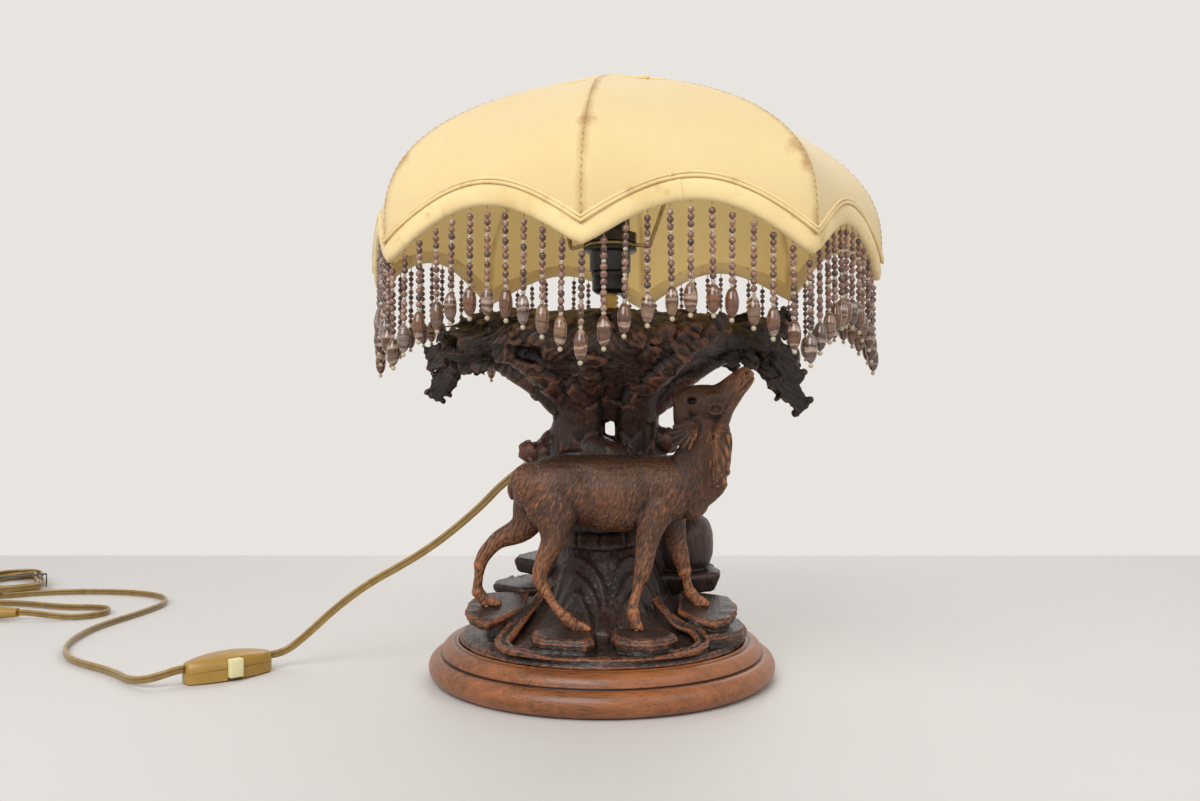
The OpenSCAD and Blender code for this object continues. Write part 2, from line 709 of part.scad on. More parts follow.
// Closed run of stations round the scalloped rim
function rim_run(steps, lift, o, high, thick) = [for (k = [0:panels - 1], i = [0:steps - 1])
  concat(shade_at(k, i/steps, rim_h(i/steps) + lift, o), [high/2, thick/2])];

module rim_loop(steps, lift, o, high, thick, n) {
  skin(rings(rim_run(steps, lift, o, high, thick), [0, 0, 1], n, true), true);
}

module shade_rim_band() {
  color(cream) rim_loop(8, band_h/2, 0.4, band_h, band_t, 8);
}

module shade_piping() {
  color(cream) rim_loop(8, band_h + 1.8, cloth_out + piping_d/2 + seat_gap, piping_d, piping_d, 6);
}

module shade_rim_wire() {
  color("tan") rim_loop(6, band_h/2, 0, wire_d, wire_d, 6);
}

// Frame: top ring, ribs, and a fitter ring with drop wires on the holder's shoulder
fitter_r = sleeve_d/2 + wire_d/2 + 0.6;
fitter_sides = 32;
arm_reach = 29;
arm_dip = 2;
arms = 2;
function wire_run(points) = [for (p = points) concat(p, [wire_d/2, wire_d/2])];

module shade_top_ring() {
  color("tan") skin(rings(wire_run([for (k = [0:panels - 1]) shade_at(k, 0, shade_rise, 0)]),
    [0, 0, 1], 8, true), true);
}

module shade_ribs() {
  color("tan") for (k = [0:panels - 1])
    skin(rings(wire_run(concat([for (j = [0:along]) shade_at(k, 0, row_h(0, j), 0)],
      [shade_at(k, 0, rim_h(0) + band_h/2, 0)])),
      [-rib_dir(k)[1], rib_dir(k)[0], 0], 6));
}

module shade_fitter() {
  middle = [holder_x, 0, shoulder_z + wire_d/2 + seat_gap];
  color("tan") {
    skin(rings(wire_run([for (i = [0:fitter_sides - 1])
      middle + fitter_r*[cos(360*i/fitter_sides), sin(360*i/fitter_sides), 0]]), [0, 0, 1], 8, true), true);
    for (k = [0:arms - 1]) {
      rib = 2 + k*panels/arms;
      out = rib_dir(rib);
      root = middle + out*fitter_r;
      clear = middle + out*(shoulder_d/2 + wire_d);
      knee = middle + out*arm_reach - [0, 0, arm_dip];
      top = shade_at(rib, 0, shade_rise, 0);
      skin(rings(wire_run([root, clear, mix(clear, knee, 0.7), mix(knee, top, 0.01), mix(knee, top, 0.05), top]),
        [-out[1], out[0], 0], 8));
    }
  }
}

binding_t = 2;
module octagon(r) {
  polygon([for (k = [0:panels - 1]) [rib_dir(k)[0], rib_dir(k)[1]]*r]);
}

module shade_top_binding() {
  lift = rib_out(shade_rise)[1]*cloth_out + seat_gap;
  color(cream) translate([shade_x, 0, shoulder_z + shade_rise + lift]) linear_extrude(binding_t)
    difference() {
      octagon(top_r + 3);
      octagon(top_r - 4);
    }
}

// One bead string as a turned outline, from its thread down to the tip bead
thread_d = 0.9;
spacer_d = 2.6;
spacer_l = 2;
tip_d = 3;
group_l = 3*bead_d + spacer_l;
string_l = thread_l + groups*group_l + olive_l + tip_d;
neck_r = 0.9;
function bead_outline(y, r, h) = [[neck_r, y], [r, y - 0.3*h], [r, y - 0.7*h]];
string_outline = concat(
  [[0, 0], [thread_d/2, 0], [thread_d/2, -thread_l]],
  [for (g = [0:groups - 1]) each concat(
    [for (b = [0:2]) each bead_outline(-thread_l - g*group_l - b*bead_d, bead_d/2, bead_d)],
    [[spacer_d/2, -thread_l - g*group_l - 3*bead_d], [spacer_d/2, -thread_l - (g + 1)*group_l]])],
  [for (p = [[0.25, 0.72], [0.42, 1], [0.58, 1], [0.75, 0.72]])
    [p[1]*olive_d/2, -thread_l - groups*group_l - p[0]*olive_l]],
  bead_outline(tip_d - string_l, tip_d/2, tip_d),
  [[0, -string_l]]);

module bead_fringe(k) {
  color("rosybrown") for (i = [0:strings - 1])
    translate(shade_at(k, i/strings, rim_h(i/strings), 0) - [0, 0, 0.3])
      rotate_extrude($fn = 24) polygon(string_outline);
}

// Cord routes, each point x, y and height of the flex's middle, lying on the table on its edge
lie = flex_w/2;
switch_at = [-267, -17, 0];
switch_turn = 42;
switch_dir = [cos(switch_turn), sin(switch_turn), 0];
entry_z = 0.6*switch_h;
switch_end = switch_at + switch_dir*switch_l/2 + [0, 0, entry_z];
switch_start = switch_at - switch_dir*switch_l/2 + [0, 0, entry_z];
to_switch = concat([bush_face, bush_face + exit_dir*8], [[-74, 0, 135], [-88, 1, 121], [-105, 2, 106],
  [-121, 3, 93.5], [-135, 4, 84], [-150, 5, 75], [-165, 6, 66.5], [-179, 7, 57.5], [-191, 8, 48.5],
  [-203, 9.5, 38.5], [-214, 11, 28.5], [-225, 12, 19], [-231, 11.6, 14.5], [-236.5, 9.6, 11.7]],
  [switch_end + switch_dir*4, switch_end]);
to_hank = concat([switch_start, switch_start - switch_dir*4], [[-298.5, -44.8, 9.6], [-307, -47, 7.2],
  [-318, -44, 4.8], [-329, -36, 3.2], [-344, -21, lie], [-363, -5, lie], [-384, 10, lie], [-403, 27, lie],
  [-418, 49, lie], [-429, 76, lie], [-435, 105, lie], [-437, 135, lie], [-434, 165, lie], [-429, 192, lie],
  [-426, 217, lie], [-425, 241, lie], [-431, 265, lie], [-444, 284, lie], [-463, 298, lie],
  [-484, 307, lie], [-506, 311.5, lie], [-529, 313, lie], [-552, 311.5, lie], [-574, 306.5, lie]]);

// Hank: three loops drawn in at the waist, wound inwards in one layer and out again in a second
hank_at = [-630, 350];
hank_turn = -60;
hank_a = 64;
hank_b = 48;
hank_waist = 20;
hank_step = 7;
hank_loops = 3;
hank_rings = 24;
hank_dir = [sin(hank_turn), -cos(hank_turn), 0];
layer_h = flex_w + 0.7;
reverse_turn = 180*hank_loops;
function hank_draw(f) = hank_step*(f < reverse_turn ? f : 2*reverse_turn - f)/360;
function hank_layer(f) = smooth(min(1, max(0, (f - reverse_turn + 90)/180)));
function hank_point(f) =
  let (along = (hank_a - hank_draw(f))*cos(f))
  let (aside = (hank_b - hank_draw(f))*sin(f) - hank_waist*pow(sin(f), 3))
  [hank_at[0], hank_at[1], lie + layer_h*hank_layer(f)]
    + along*[cos(hank_turn), sin(hank_turn), 0] + aside*hank_dir;
hank_route = [for (i = [0:hank_loops*hank_rings]) hank_point(360*i/hank_rings)];
hank_start = hank_route[0];
hank_end = hank_route[len(hank_route) - 1];

// Least gap between two passes of the hank, from points a quarter loop or more apart
hank_fine = [for (i = [0:hank_loops*48]) hank_point(7.5*i)];
function pass_gap(p, q) = max(abs(p[2] - q[2]) - flex_w, norm([p[0] - q[0], p[1] - q[1]]) - flex_t);
echo(hank_least_gap = min([for (i = [0:len(hank_fine) - 1], j = [i + 12:1:len(hank_fine) - 1])
  pass_gap(hank_fine[i], hank_fine[j])]));

plug_at = [-530, 181, 7];
to_plug = concat([hank_end, hank_end + hank_dir*flex_w], [[-611.3, 283.5, 8.6], [-614.2, 272.5, 7.4],
  [-611.3, 261.5, 5.8], [-603, 253.4, 4.2], [-592, 250.5, 3.2], [-570, 249, lie], [-548, 243, lie],
  [-526, 234.5, lie], [-504, 229, lie], [-484, 228, lie], [-467.5, 221.2, lie], [-460.5, 204.5, lie],
  [-467.5, 187.8, lie], [-484, 181, 3.2], [-498, 180.4, 4.4], [-511, 180.8, 5.8]],
  [plug_at + [7, 0, 0], plug_at]);

module flex(route) {
  color(gold) skin(rings([for (p = route) concat(p, [flex_w/2, flex_t/2])], [0, 0, 1], 8));
}

module cord_to_switch() {
  flex(to_switch);
}

module cord_to_hank() {
  flex(concat(to_hank, [hank_start - hank_dir*flex_w, hank_start]));
}

module cord_hank() {
  flex(concat([hank_start, hank_start + hank_dir],
    [for (i = [1:len(hank_route) - 2]) hank_route[i]], [hank_end - hank_dir, hank_end]));
}

module cord_to_plug() {
  flex(to_plug);
}

// Tie round the hank's waist
tie_w = 8;
tie_t = 1;
module hank_tie() {
  half_y = hank_b - hank_waist + flex_t/2 + 0.4;
  tall = flex_w + layer_h + 0.4;
  color("dimgray") translate(hank_at) rotate([0, 0, hank_turn]) difference() {
    translate([-tie_w/2, -half_y - tie_t, 0]) cube([tie_w, 2*(half_y + tie_t), tall + tie_t]);
    translate([-tie_w, -half_y, -1]) cube([2*tie_w, 2*half_y, tall + 1]);
  }
}

// In-line switch: leaf-shaped shells in two halves, a cross-wise push bar, contacts and a screw
switch_end_w = 11;
split_z = switch_h/2;
arc_r = (switch_l*switch_l/4 + pow((switch_w - switch_end_w)/2, 2))/(switch_w - switch_end_w);

module leaf_outline(inset) {
  intersection() {
    translate([0, arc_r - switch_w/2]) circle(r = arc_r - inset, $fn = 128);
    translate([0, switch_w/2 - arc_r]) circle(r = arc_r - inset, $fn = 128);
    square([switch_l - 2*inset, switch_w], center = true);
  }
}

module at_switch() {
  translate(switch_at) rotate([0, 0, switch_turn]) children();
}

crown_r = 130;
module switch_shell(low, high) {
  intersection() {
    up(low) linear_extrude(high - low) leaf_outline(0);
    translate([0, 0, switch_h - crown_r]) rotate([90, 0, 0]) cylinder(h = 60, r = crown_r, center = true,
      $fn = 256);
  }
}

bar_z = split_z - bar_h/2;
module bar_slot() {
  translate([-bar_w/2 - run_gap, -switch_w, bar_z - run_gap])
    cube([bar_w + 2*run_gap, 2*switch_w, bar_h + 2*run_gap]);
}

small_screw_d = 3;
small_screw_l = 11;
small_screw_x = 19;
small_head_d = 5.4;
small_head_h = 2;
small_sink = 0.6;
module switch_screw_shape(gap) {
  translate([small_screw_x, 0, small_sink - gap]) {
    cylinder(h = small_screw_l + 2*gap, d = small_screw_d + 2*gap, $fn = 32);
    cylinder(h = small_head_h + 2*gap, d = small_head_d + 2*gap, $fn = 32);
  }
}

module switch_half(low, high, cut_low, cut_high) {
  color(gold) at_switch() difference() {
    switch_shell(low, high);
    up(cut_low) linear_extrude(cut_high - cut_low) difference() {
      leaf_outline(switch_wall);
      translate([small_screw_x, 0]) circle(d = small_head_d + switch_wall);
    }
    bar_slot();
    switch_screw_shape(dowel_gap);
    translate([small_screw_x, 0, -eps]) cylinder(h = small_sink, d = small_head_d + 2*dowel_gap, $fn = 32);
  }
}

module switch_lower_half() {
  switch_half(0, split_z - seat_gap/2, switch_wall, split_z + 1);
}

module switch_upper_half() {
  switch_half(split_z + seat_gap/2, switch_h, split_z - 1, switch_h - switch_wall - 1);
}

bar_notch = [bar_w + 2, 6, 2];
module switch_bar() {
  color("ivory") at_switch() difference() {
    translate([-bar_w/2, -switch_w/2 - bar_out, bar_z]) cube([bar_w, switch_w, bar_h]);
    translate([0, 0, bar_z]) cube(bar_notch + [0, 0, bar_notch[2]], center = true);
  }
}

contact_x = 11.5;
contact_size = [1, 8, 4];
module switch_contacts() {
  color(brass) at_switch() for (s = [-1, 1])
    translate([s*contact_x, 0, switch_wall + contact_size[2]/2]) cube(contact_size, center = true);
}

module switch_screw() {
  color("silver") at_switch() switch_screw_shape(0);
}

// Plug: tapered cord sleeve, flat body and two pins
sleeve_l = 22;
plug_l = 36;
plug_w = 27;
plug_t = 14;
pin_root = 6;
pin_root_d = pin_d - 1;
shoulder_l = 8;
throat_w = 12;

module at_plug() {
  translate(plug_at) rotate([0, 0, 180]) children();
}

module plug_body() {
  color(gold) at_plug() difference() {
    union() {
      rotate([0, 90, 0]) cylinder(h = sleeve_l, d1 = flex_w + 2.4, d2 = plug_t - 2);
      translate([sleeve_l, 0, -plug_t/2]) linear_extrude(plug_t)
        polygon([[0, -throat_w/2], [shoulder_l, -plug_w/2], [plug_l, -plug_w/2], [plug_l, plug_w/2],
          [shoulder_l, plug_w/2], [0, throat_w/2]]);
    }
    pin_shapes(dowel_gap);
  }
}

module pin_shapes(gap) {
  for (s = [-1, 1])
    translate([sleeve_l + plug_l, s*pin_gap/2, 0]) rotate([0, 90, 0]) {
      up(-pin_root - gap) cylinder(h = pin_root + gap + eps, d = pin_root_d + 2*gap);
      cylinder(h = pin_l, d = pin_d);
    }
}

module plug_pins() {
  color(brass) at_plug() pin_shapes(0);
}

turned_base();
base_screws();
rocky_ground();
trunk_dowels();
tree_trunk();
crown_dowels();
tree_crown();
left_leaf_spray();
right_leaf_spray();
leaf_pegs();
deer();
hoof_dowels();
threaded_pipe();
pipe_washer();
pipe_nut();
inner_flex();
cord_bush();
holder_cap();
holder_sleeve();
holder_insert();
screw_shell();
centre_contact();
terminal_screws();
clamp_ring();
bulb_cap();
bulb_contact();
bulb_glass();
shade_fitter();
shade_top_ring();
shade_ribs();
shade_rim_wire();
shade_cover();
shade_lining();
shade_rim_band();
shade_piping();
shade_top_binding();
bead_fringe(0);  // bead_fringe_1
bead_fringe(1);  // bead_fringe_2
bead_fringe(2);  // bead_fringe_3
bead_fringe(3);  // bead_fringe_4
bead_fringe(4);  // bead_fringe_5
bead_fringe(5);  // bead_fringe_6
bead_fringe(6);  // bead_fringe_7
bead_fringe(7);  // bead_fringe_8
cord_to_switch();
switch_lower_half();
switch_upper_half();
switch_bar();
switch_contacts();
switch_screw();
cord_to_hank();
cord_hank();
hank_tie();
cord_to_plug();
plug_body();
plug_pins();
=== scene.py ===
import math
import random

import bmesh
import bpy
import numpy as np
from mathutils import Matrix, Vector


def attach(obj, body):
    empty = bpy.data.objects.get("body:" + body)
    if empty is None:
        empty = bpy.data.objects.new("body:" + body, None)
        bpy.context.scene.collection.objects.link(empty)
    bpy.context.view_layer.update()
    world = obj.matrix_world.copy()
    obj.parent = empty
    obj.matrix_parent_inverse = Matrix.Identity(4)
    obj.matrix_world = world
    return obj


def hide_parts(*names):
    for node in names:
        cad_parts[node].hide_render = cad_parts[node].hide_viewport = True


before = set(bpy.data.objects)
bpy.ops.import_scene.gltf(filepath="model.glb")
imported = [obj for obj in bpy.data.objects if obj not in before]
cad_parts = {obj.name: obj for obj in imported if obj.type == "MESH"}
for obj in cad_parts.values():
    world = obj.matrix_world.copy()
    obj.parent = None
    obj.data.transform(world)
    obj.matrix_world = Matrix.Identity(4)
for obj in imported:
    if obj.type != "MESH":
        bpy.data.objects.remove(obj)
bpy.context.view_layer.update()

# Where the lamp is looked at from: square on, at the height of the deer's head, tipped up a little.
# The lamp stands on a pale table top whose far edge shows against a pale wall, in soft daylight.
scene = bpy.context.scene
scene.view_settings.view_transform = "Standard"
camera = bpy.data.objects.new("camera", bpy.data.cameras.new("camera"))
scene.collection.objects.link(camera)
camera.location = (-0.0014, -0.748, 0.1893)
camera.rotation_euler = (math.radians(90.63), 0, 0)
camera.data.sensor_width = 36
camera.data.lens = 30.63
scene.camera = camera


class Socket:
    """A shader socket that stands in sums; node() adds any other kind of node."""

    def __init__(self, tree, socket):
        self.tree = tree
        self.socket = socket

    def node(self, kind, inputs, out=0, stops=(), **settings):
        made = self.tree.nodes.new(kind)
        for key, value in settings.items():
            setattr(made, key, value)
        for at, colour in stops[1:-1]:
            made.color_ramp.elements.new(at).color = (*colour, 1)
        for end in (0, -1) if stops else ():
            made.color_ramp.elements[end].position = stops[end][0]
            made.color_ramp.elements[end].color = (*stops[end][1], 1)
        for key, value in inputs.items():
            if isinstance(value, Socket):
                self.tree.links.new(value.socket, made.inputs[key])
            elif made.inputs[key].type == "RGBA":
                made.inputs[key].default_value = (*value, 1)
            else:
                made.inputs[key].default_value = value
        return Socket(self.tree, made.outputs[out])

    def sum(self, operation, a, b, clamp=False):
        return self.node("ShaderNodeMath", {0: a, 1: b}, operation=operation, use_clamp=clamp)

    def __add__(self, other):
        return self.sum("ADD", self, other)

    def __sub__(self, other):
        return self.sum("SUBTRACT", self, other)

    def __rsub__(self, other):
        return self.sum("SUBTRACT", other, self)

    def __mul__(self, other):
        return self.sum("MULTIPLY", self, other)

    __radd__ = __add__
    __rmul__ = __mul__

    def over(self, low, high):
        """0 up to low, 1 from high, and a slope between them."""
        return self.sum("MULTIPLY", self - low, 1 / (high - low), clamp=True)

    def mix(self, a, b):
        """Colour a where this is 0 and colour b where it is 1."""
        return self.node("ShaderNodeMix", {0: self, 6: a, 7: b}, out=2, data_type="RGBA")

    def noise(self, scale, detail=3.0, stretch=(1, 1, 1)):
        run = self.node("ShaderNodeMapping", {"Vector": self, "Scale": stretch})
        return self.node("ShaderNodeTexNoise", {"Vector": run, "Scale": scale, "Detail": detail})

    def mark(self, name, out="Fac"):
        return self.node("ShaderNodeAttribute", {}, out=out, attribute_name=name)

    def feed(self, shader, name):
        self.tree.links.new(self.socket, shader.inputs[name])

    def bump(self, shader, depth, strength):
        lifted = self.node("ShaderNodeBump", {"Height": self, "Strength": strength, "Distance": depth})
        lifted.feed(shader, "Normal")


def finish(name, **fixed):
    """A material with these sockets set, its shader, and the piece's own coordinates."""
    made = bpy.data.materials.new(name)
    made.use_nodes = True
    shader = made.node_tree.nodes["Principled BSDF"]
    for key, value in fixed.items():
        shader.inputs[key.replace("_", " ")].default_value = value
    coordinates = made.node_tree.nodes.new("ShaderNodeTexCoord")
    return made, shader, Socket(made.node_tree, coordinates.outputs["Object"])


def speckled(name, scale, a, b, detail=3.0, stretch=(1, 1, 1), **fixed):
    """A material whose colour only wanders between two tones."""
    made, shader, at = finish(name, **fixed)
    at.noise(scale, detail, stretch).mix(a, b).feed(shader, "Base Color")
    return made


def place(name, mesh, slot, body, stands_for):
    """An object at the origin; one with a slot rides on its body and may stand for CAD nodes."""
    placed = bpy.data.objects.new(name, mesh)
    scene.collection.objects.link(placed)
    if slot:
        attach(placed, body)
    if stands_for:
        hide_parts(*stands_for)
    return placed


def piece(name, bm, *finishes, slot=None, body="stand", stands_for=()):
    """A piece from a bmesh in millimetres, its faces turned outwards."""
    bmesh.ops.recalc_face_normals(bm, faces=bm.faces)
    bmesh.ops.scale(bm, vec=(0.001, 0.001, 0.001), verts=bm.verts)
    mesh = bpy.data.meshes.new(name)
    bm.to_mesh(mesh)
    bm.free()
    mesh.shade_smooth()
    for made in finishes:
        mesh.materials.append(made)
    return place(name, mesh, slot, body, stands_for)


table_white = speckled("table_white", 3, (0.64, 0.625, 0.61), (0.68, 0.665, 0.65), Roughness=0.6)
table_half = 2400
table_edge_y = 600
table_below = 0.3
bm = bmesh.new()
bmesh.ops.create_grid(bm, x_segments=1, y_segments=1, size=table_half)
bmesh.ops.translate(bm, vec=(0, table_edge_y - table_half, -table_below), verts=bm.verts)
piece("table_top", bm, table_white)

wall = bpy.data.worlds.new("wall")
scene.world = wall
wall.use_nodes = True
glow = wall.node_tree.nodes["Background"]
path = wall.node_tree.nodes.new("ShaderNodeLightPath")
seen = Socket(wall.node_tree, path.outputs["Is Camera Ray"])
for ray in ("Is Glossy Ray", "Is Transmission Ray"):
    seen = seen + Socket(wall.node_tree, path.outputs[ray])
room_level = 0.55
wall_level = 0.26
(seen * wall_level + room_level).feed(glow, "Strength")
glow.inputs["Color"].default_value = (1, 0.96, 0.915, 1)

for name, spot, aim, size, power in (
        ("window_light", (-0.55, -1.4, 1.3), (0, 0, 0.2), 1.2, 24.5),
        ("room_light", (1.1, -0.9, 1.0), (0, 0, 0.2), 1.0, 4),
        ("back_light", (0.2, 1.2, 1.2), (0, 0, 0.25), 1.0, 8)):
    lamp = bpy.data.objects.new(name, bpy.data.lights.new(name, "AREA"))
    scene.collection.objects.link(lamp)
    lamp.data.size = size
    lamp.data.energy = power
    lamp.location = spot
    lamp.rotation_euler = (Vector(aim) - Vector(spot)).to_track_quat("-Z", "Y").to_euler()

# Flat twin flex, gold-bronze vinyl over two conductors with a groove between them. It leaves the tree
# behind the deer's rump, sags to the in-line switch, and runs on its edge to a tied hank and a plug.
flex_w = 5.6
flex_t = 2.8
flex_lies = flex_w / 2
bush_face = Vector((-51.97, 0, 152.71))
exit_dir = Vector((-0.788, 0, -0.6157))
switch_at = Vector((-267, -17, 0))
switch_turn = math.radians(42)
switch_half = 30.5
switch_entry = Vector((0, 0, 10.8))
switch_dir = Vector((math.cos(switch_turn), math.sin(switch_turn), 0))
switch_end = switch_at + switch_dir * switch_half + switch_entry
switch_start = switch_at - switch_dir * switch_half + switch_entry
to_switch = [
    bush_face, bush_face + exit_dir * 8, (-74, 0, 135), (-88, 1, 121), (-105, 2, 106), (-121, 3, 93.5),
    (-135, 4, 84), (-150, 5, 75), (-165, 6, 66.5), (-179, 7, 57.5), (-191, 8, 48.5), (-203, 9.5, 38.5),
    (-214, 11, 28.5), (-225, 12, 19), (-231, 11.6, 14.5), (-236.5, 9.6, 11.7),
    switch_end + switch_dir * 4, switch_end]
to_hank = [
    switch_start, switch_start - switch_dir * 4, (-298.5, -44.8, 9.6), (-307, -47, 7.2), (-318, -44, 4.8),
    (-329, -36, 3.2)]
to_hank += [(x, y, flex_lies) for x, y in (
    (-344, -21), (-363, -5), (-384, 10), (-403, 27), (-418, 49), (-429, 76), (-435, 105), (-437, 135),
    (-434, 165), (-429, 192), (-426, 217), (-425, 241), (-431, 265), (-444, 284), (-463, 298),
    (-484, 307), (-506, 311.5), (-529, 313), (-552, 311.5), (-574, 306.5))]
to_plug = [
    (-611.3, 283.5, 8.6), (-614.2, 272.5, 7.4), (-611.3, 261.5, 5.8), (-603, 253.4, 4.2), (-592, 250.5, 3.2)]
to_plug += [(x, y, flex_lies) for x, y in (
    (-570, 249), (-548, 243), (-526, 234.5), (-504, 229), (-484, 228), (-467.5, 221.2), (-460.5, 204.5),
    (-467.5, 187.8))]
to_plug += [(-484, 181, 3.2), (-498, 180.4, 4.4), (-511, 180.8, 5.8), (-523, 181, 7), (-530, 181, 7)]

hank_dir = Vector((-0.866, -0.5, 0))
hank_at = (-630, 350)
hank_long, hank_wide, hank_waist = 64, 48, 20
hank_draw = 7
hank_layer = 6.3
hank_turn = 1080


def hank_point(turn):
    """A point of the hank after this many degrees: three loops in, and out again on a second layer."""
    f = math.radians(turn)
    draw = hank_draw * min(turn, hank_turn - turn) / 360
    rise = min(1, max(0, (turn - 450) / 180))
    along = (hank_long - draw) * math.cos(f)
    aside = (hank_wide - draw) * math.sin(f) - hank_waist * math.sin(f) ** 3
    return (hank_at[0] + along * 0.5 - aside * 0.866, hank_at[1] - along * 0.866 - aside * 0.5,
            flex_lies + hank_layer * rise * rise * (3 - 2 * rise))


hank = [hank_point(turn) for turn in range(0, hank_turn + 1, 15)]
to_hank += [Vector(hank[0]) - hank_dir * flex_w]
to_plug = [Vector(hank[-1]) + hank_dir * flex_w] + to_plug


def smooth_run(points, step):
    """A smooth run through the points with a sample about every step."""
    p = np.array([tuple(q) for q in points], float)
    leg = np.linalg.norm(np.diff(p, axis=0), axis=1)
    slope = np.diff(p, axis=0) / leg[:, None]
    t = np.vstack([slope[:1], slope])
    t[1:-1] = (slope[:-1] * leg[1:, None] + slope[1:] * leg[:-1, None]) / (leg[1:] + leg[:-1])[:, None]
    run = [p[0]]
    for i, length in enumerate(leg):
        for f in np.linspace(0, 1, max(2, round(length / step) + 1))[1:]:
            a = p[i] * (1 + 2 * f) + t[i] * f * length
            b = p[i + 1] * (3 - 2 * f) - t[i + 1] * (1 - f) * length
            run.append(a * (1 - f) ** 2 + b * f ** 2)
    return run


def sweep(bm, spots, section, closed=False):
    """Extrudes a section ring through the spots, each a matrix, and marks how far along and around it is."""
    along = bm.verts.layers.float.get("along") or bm.verts.layers.float.new("along")
    around = bm.verts.layers.float.get("around") or bm.verts.layers.float.new("around")
    ring = [bm.verts.new(spots[0] @ Vector((x, y, 0))) for x, y in section]
    for i, v in enumerate(ring):
        v[around] = i / len(ring)
    first = [bm.edges.new((ring[i - 1], v)) for i, v in enumerate(ring)]
    edges, far = first, 0.0
    for before, after in zip(spots, spots[1:] + (spots[:1] if closed else [])):
        grown = bmesh.ops.extrude_edge_only(bm, edges=edges)["geom"]
        verts = [v for v in grown if isinstance(v, bmesh.types.BMVert)]
        edges = [e for e in grown if isinstance(e, bmesh.types.BMEdge)]
        bmesh.ops.transform(bm, matrix=after @ before.inverted(), verts=verts)
        far += (after.translation - before.translation).length
        for v in verts:
            v[along] = far
    if closed:
        bmesh.ops.remove_doubles(bm, verts=bm.verts, dist=0.001)
    else:
        bmesh.ops.contextual_create(bm, geom=first)
        bmesh.ops.contextual_create(bm, geom=edges)


def axes_at(p, x, y, z):
    """A section's place at point p, with its own three axes."""
    made = Matrix((x, y, z)).transposed().to_4x4()
    made.translation = Vector(p)
    return made


def spots_on(run, up=(0, 0, 1), closed=False):
    """Section places on a run: X to the side, Y as far up as the run allows, Z along it."""
    made = []
    for i, p in enumerate(run):
        before = run[i - 1] if closed or i else p
        after = run[(i + 1) % len(run)] if closed or i + 1 < len(run) else p
        z = Vector(after - before).normalized()
        x = z.cross(Vector(up)).normalized() * -1
        made.append(axes_at(p, x, z.cross(x), z))
    return made


flex_sides = 24
groove_cut, groove_half = 0.36, 0.6
flex_section = []
for i in range(flex_sides):
    f = 2 * math.pi * i / flex_sides
    groove = 1 - groove_cut * math.exp(-(math.sin(f) * flex_w / 2 / groove_half) ** 2)
    round_side = math.copysign(abs(math.cos(f)) ** 0.6, math.cos(f))
    flex_section.append((flex_t / 2 * round_side * groove, flex_w / 2 * math.sin(f)))

gold_flex, shader, at = finish("gold_flex", Roughness=0.32, Coat_Weight=0.25, Coat_Roughness=0.2)
lobes = at.mark("around") * (4 * math.pi)
groove_shade = lobes.node("ShaderNodeMath", {0: lobes}, operation="COSINE")
streak = at.mark("along").noise(0.09, 2)
tone = streak.over(0.35, 0.65).mix((0.26, 0.158, 0.033), (0.37, 0.232, 0.055))
# The groove down the middle of each flat face is painted darker: painted shade in the groove.
groove_shade.over(0.2, 1).mix(tone, (0.13, 0.075, 0.016)).feed(shader, "Base Color")
at.noise(400).bump(shader, 0.0002, 0.3)


def flex_piece(name, points, stands_for, **facts):
    """One run of flex through the points, with its length measured along the run."""
    run = smooth_run(points, 2.5)
    bm = bmesh.new()
    sweep(bm, spots_on(run), flex_section)
    made = piece(name, bm, gold_flex, slot="gold_flex", stands_for=stands_for)
    length = sum(np.linalg.norm(b - a) for a, b in zip(run, run[1:])) / 1000
    tuple(run[0] / 1000)
    [tuple(p / 1000) for p in run]


switch_nodes = [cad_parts[n] for n in ("switch_upper_half", "switch_lower_half", "switch_bar")]
flex_piece("flex_to_switch", to_switch, ["cord_to_switch"], far_end="fitting", stiffness="medium",
           lay="hanging", with_pieces=switch_nodes)
flex_piece("flex_to_plug", to_hank + hank + to_plug, ["cord_to_hank", "cord_hank", "cord_to_plug"],
           far_end="plug", stiffness="medium", lay="loose",
           with_pieces=[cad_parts[n] for n in ("hank_tie", "plug_body", "plug_pins")])


# In-line switch: two gold mouldings that meet in a groove, as one leaf-shaped shell with a slot right
# through it, and an ivory bar that slides in the slot. The plug and the tie round the hank go with it.
gold_plastic, shader, at = finish("gold_plastic", Roughness=0.38, Coat_Weight=0.15, Coat_Roughness=0.3)
at.noise(60, 4).over(0.3, 0.7).mix((0.335, 0.19, 0.030), (0.40, 0.235, 0.042)).feed(shader, "Base Color")
at.noise(1200, 2).bump(shader, 0.0001, 0.25)
ivory, shader, at = finish("ivory_plastic", Roughness=0.5)
at.noise(90, 3).mix((0.70, 0.64, 0.33), (0.77, 0.72, 0.42)).feed(shader, "Base Color")
at.noise(900, 2).bump(shader, 0.0001, 0.2)
tie_paper = speckled("tie_paper", 200, (0.05, 0.045, 0.04), (0.09, 0.08, 0.07), Roughness=0.7)


def dress(made, *nodes):
    """Gives one finish to CAD nodes that are shown as they are."""
    for node in nodes:
        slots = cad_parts[node].data.materials
        slots.clear()
        slots.append(made)


dress(gold_plastic, "plug_body")
dress(tie_paper, "hank_tie")

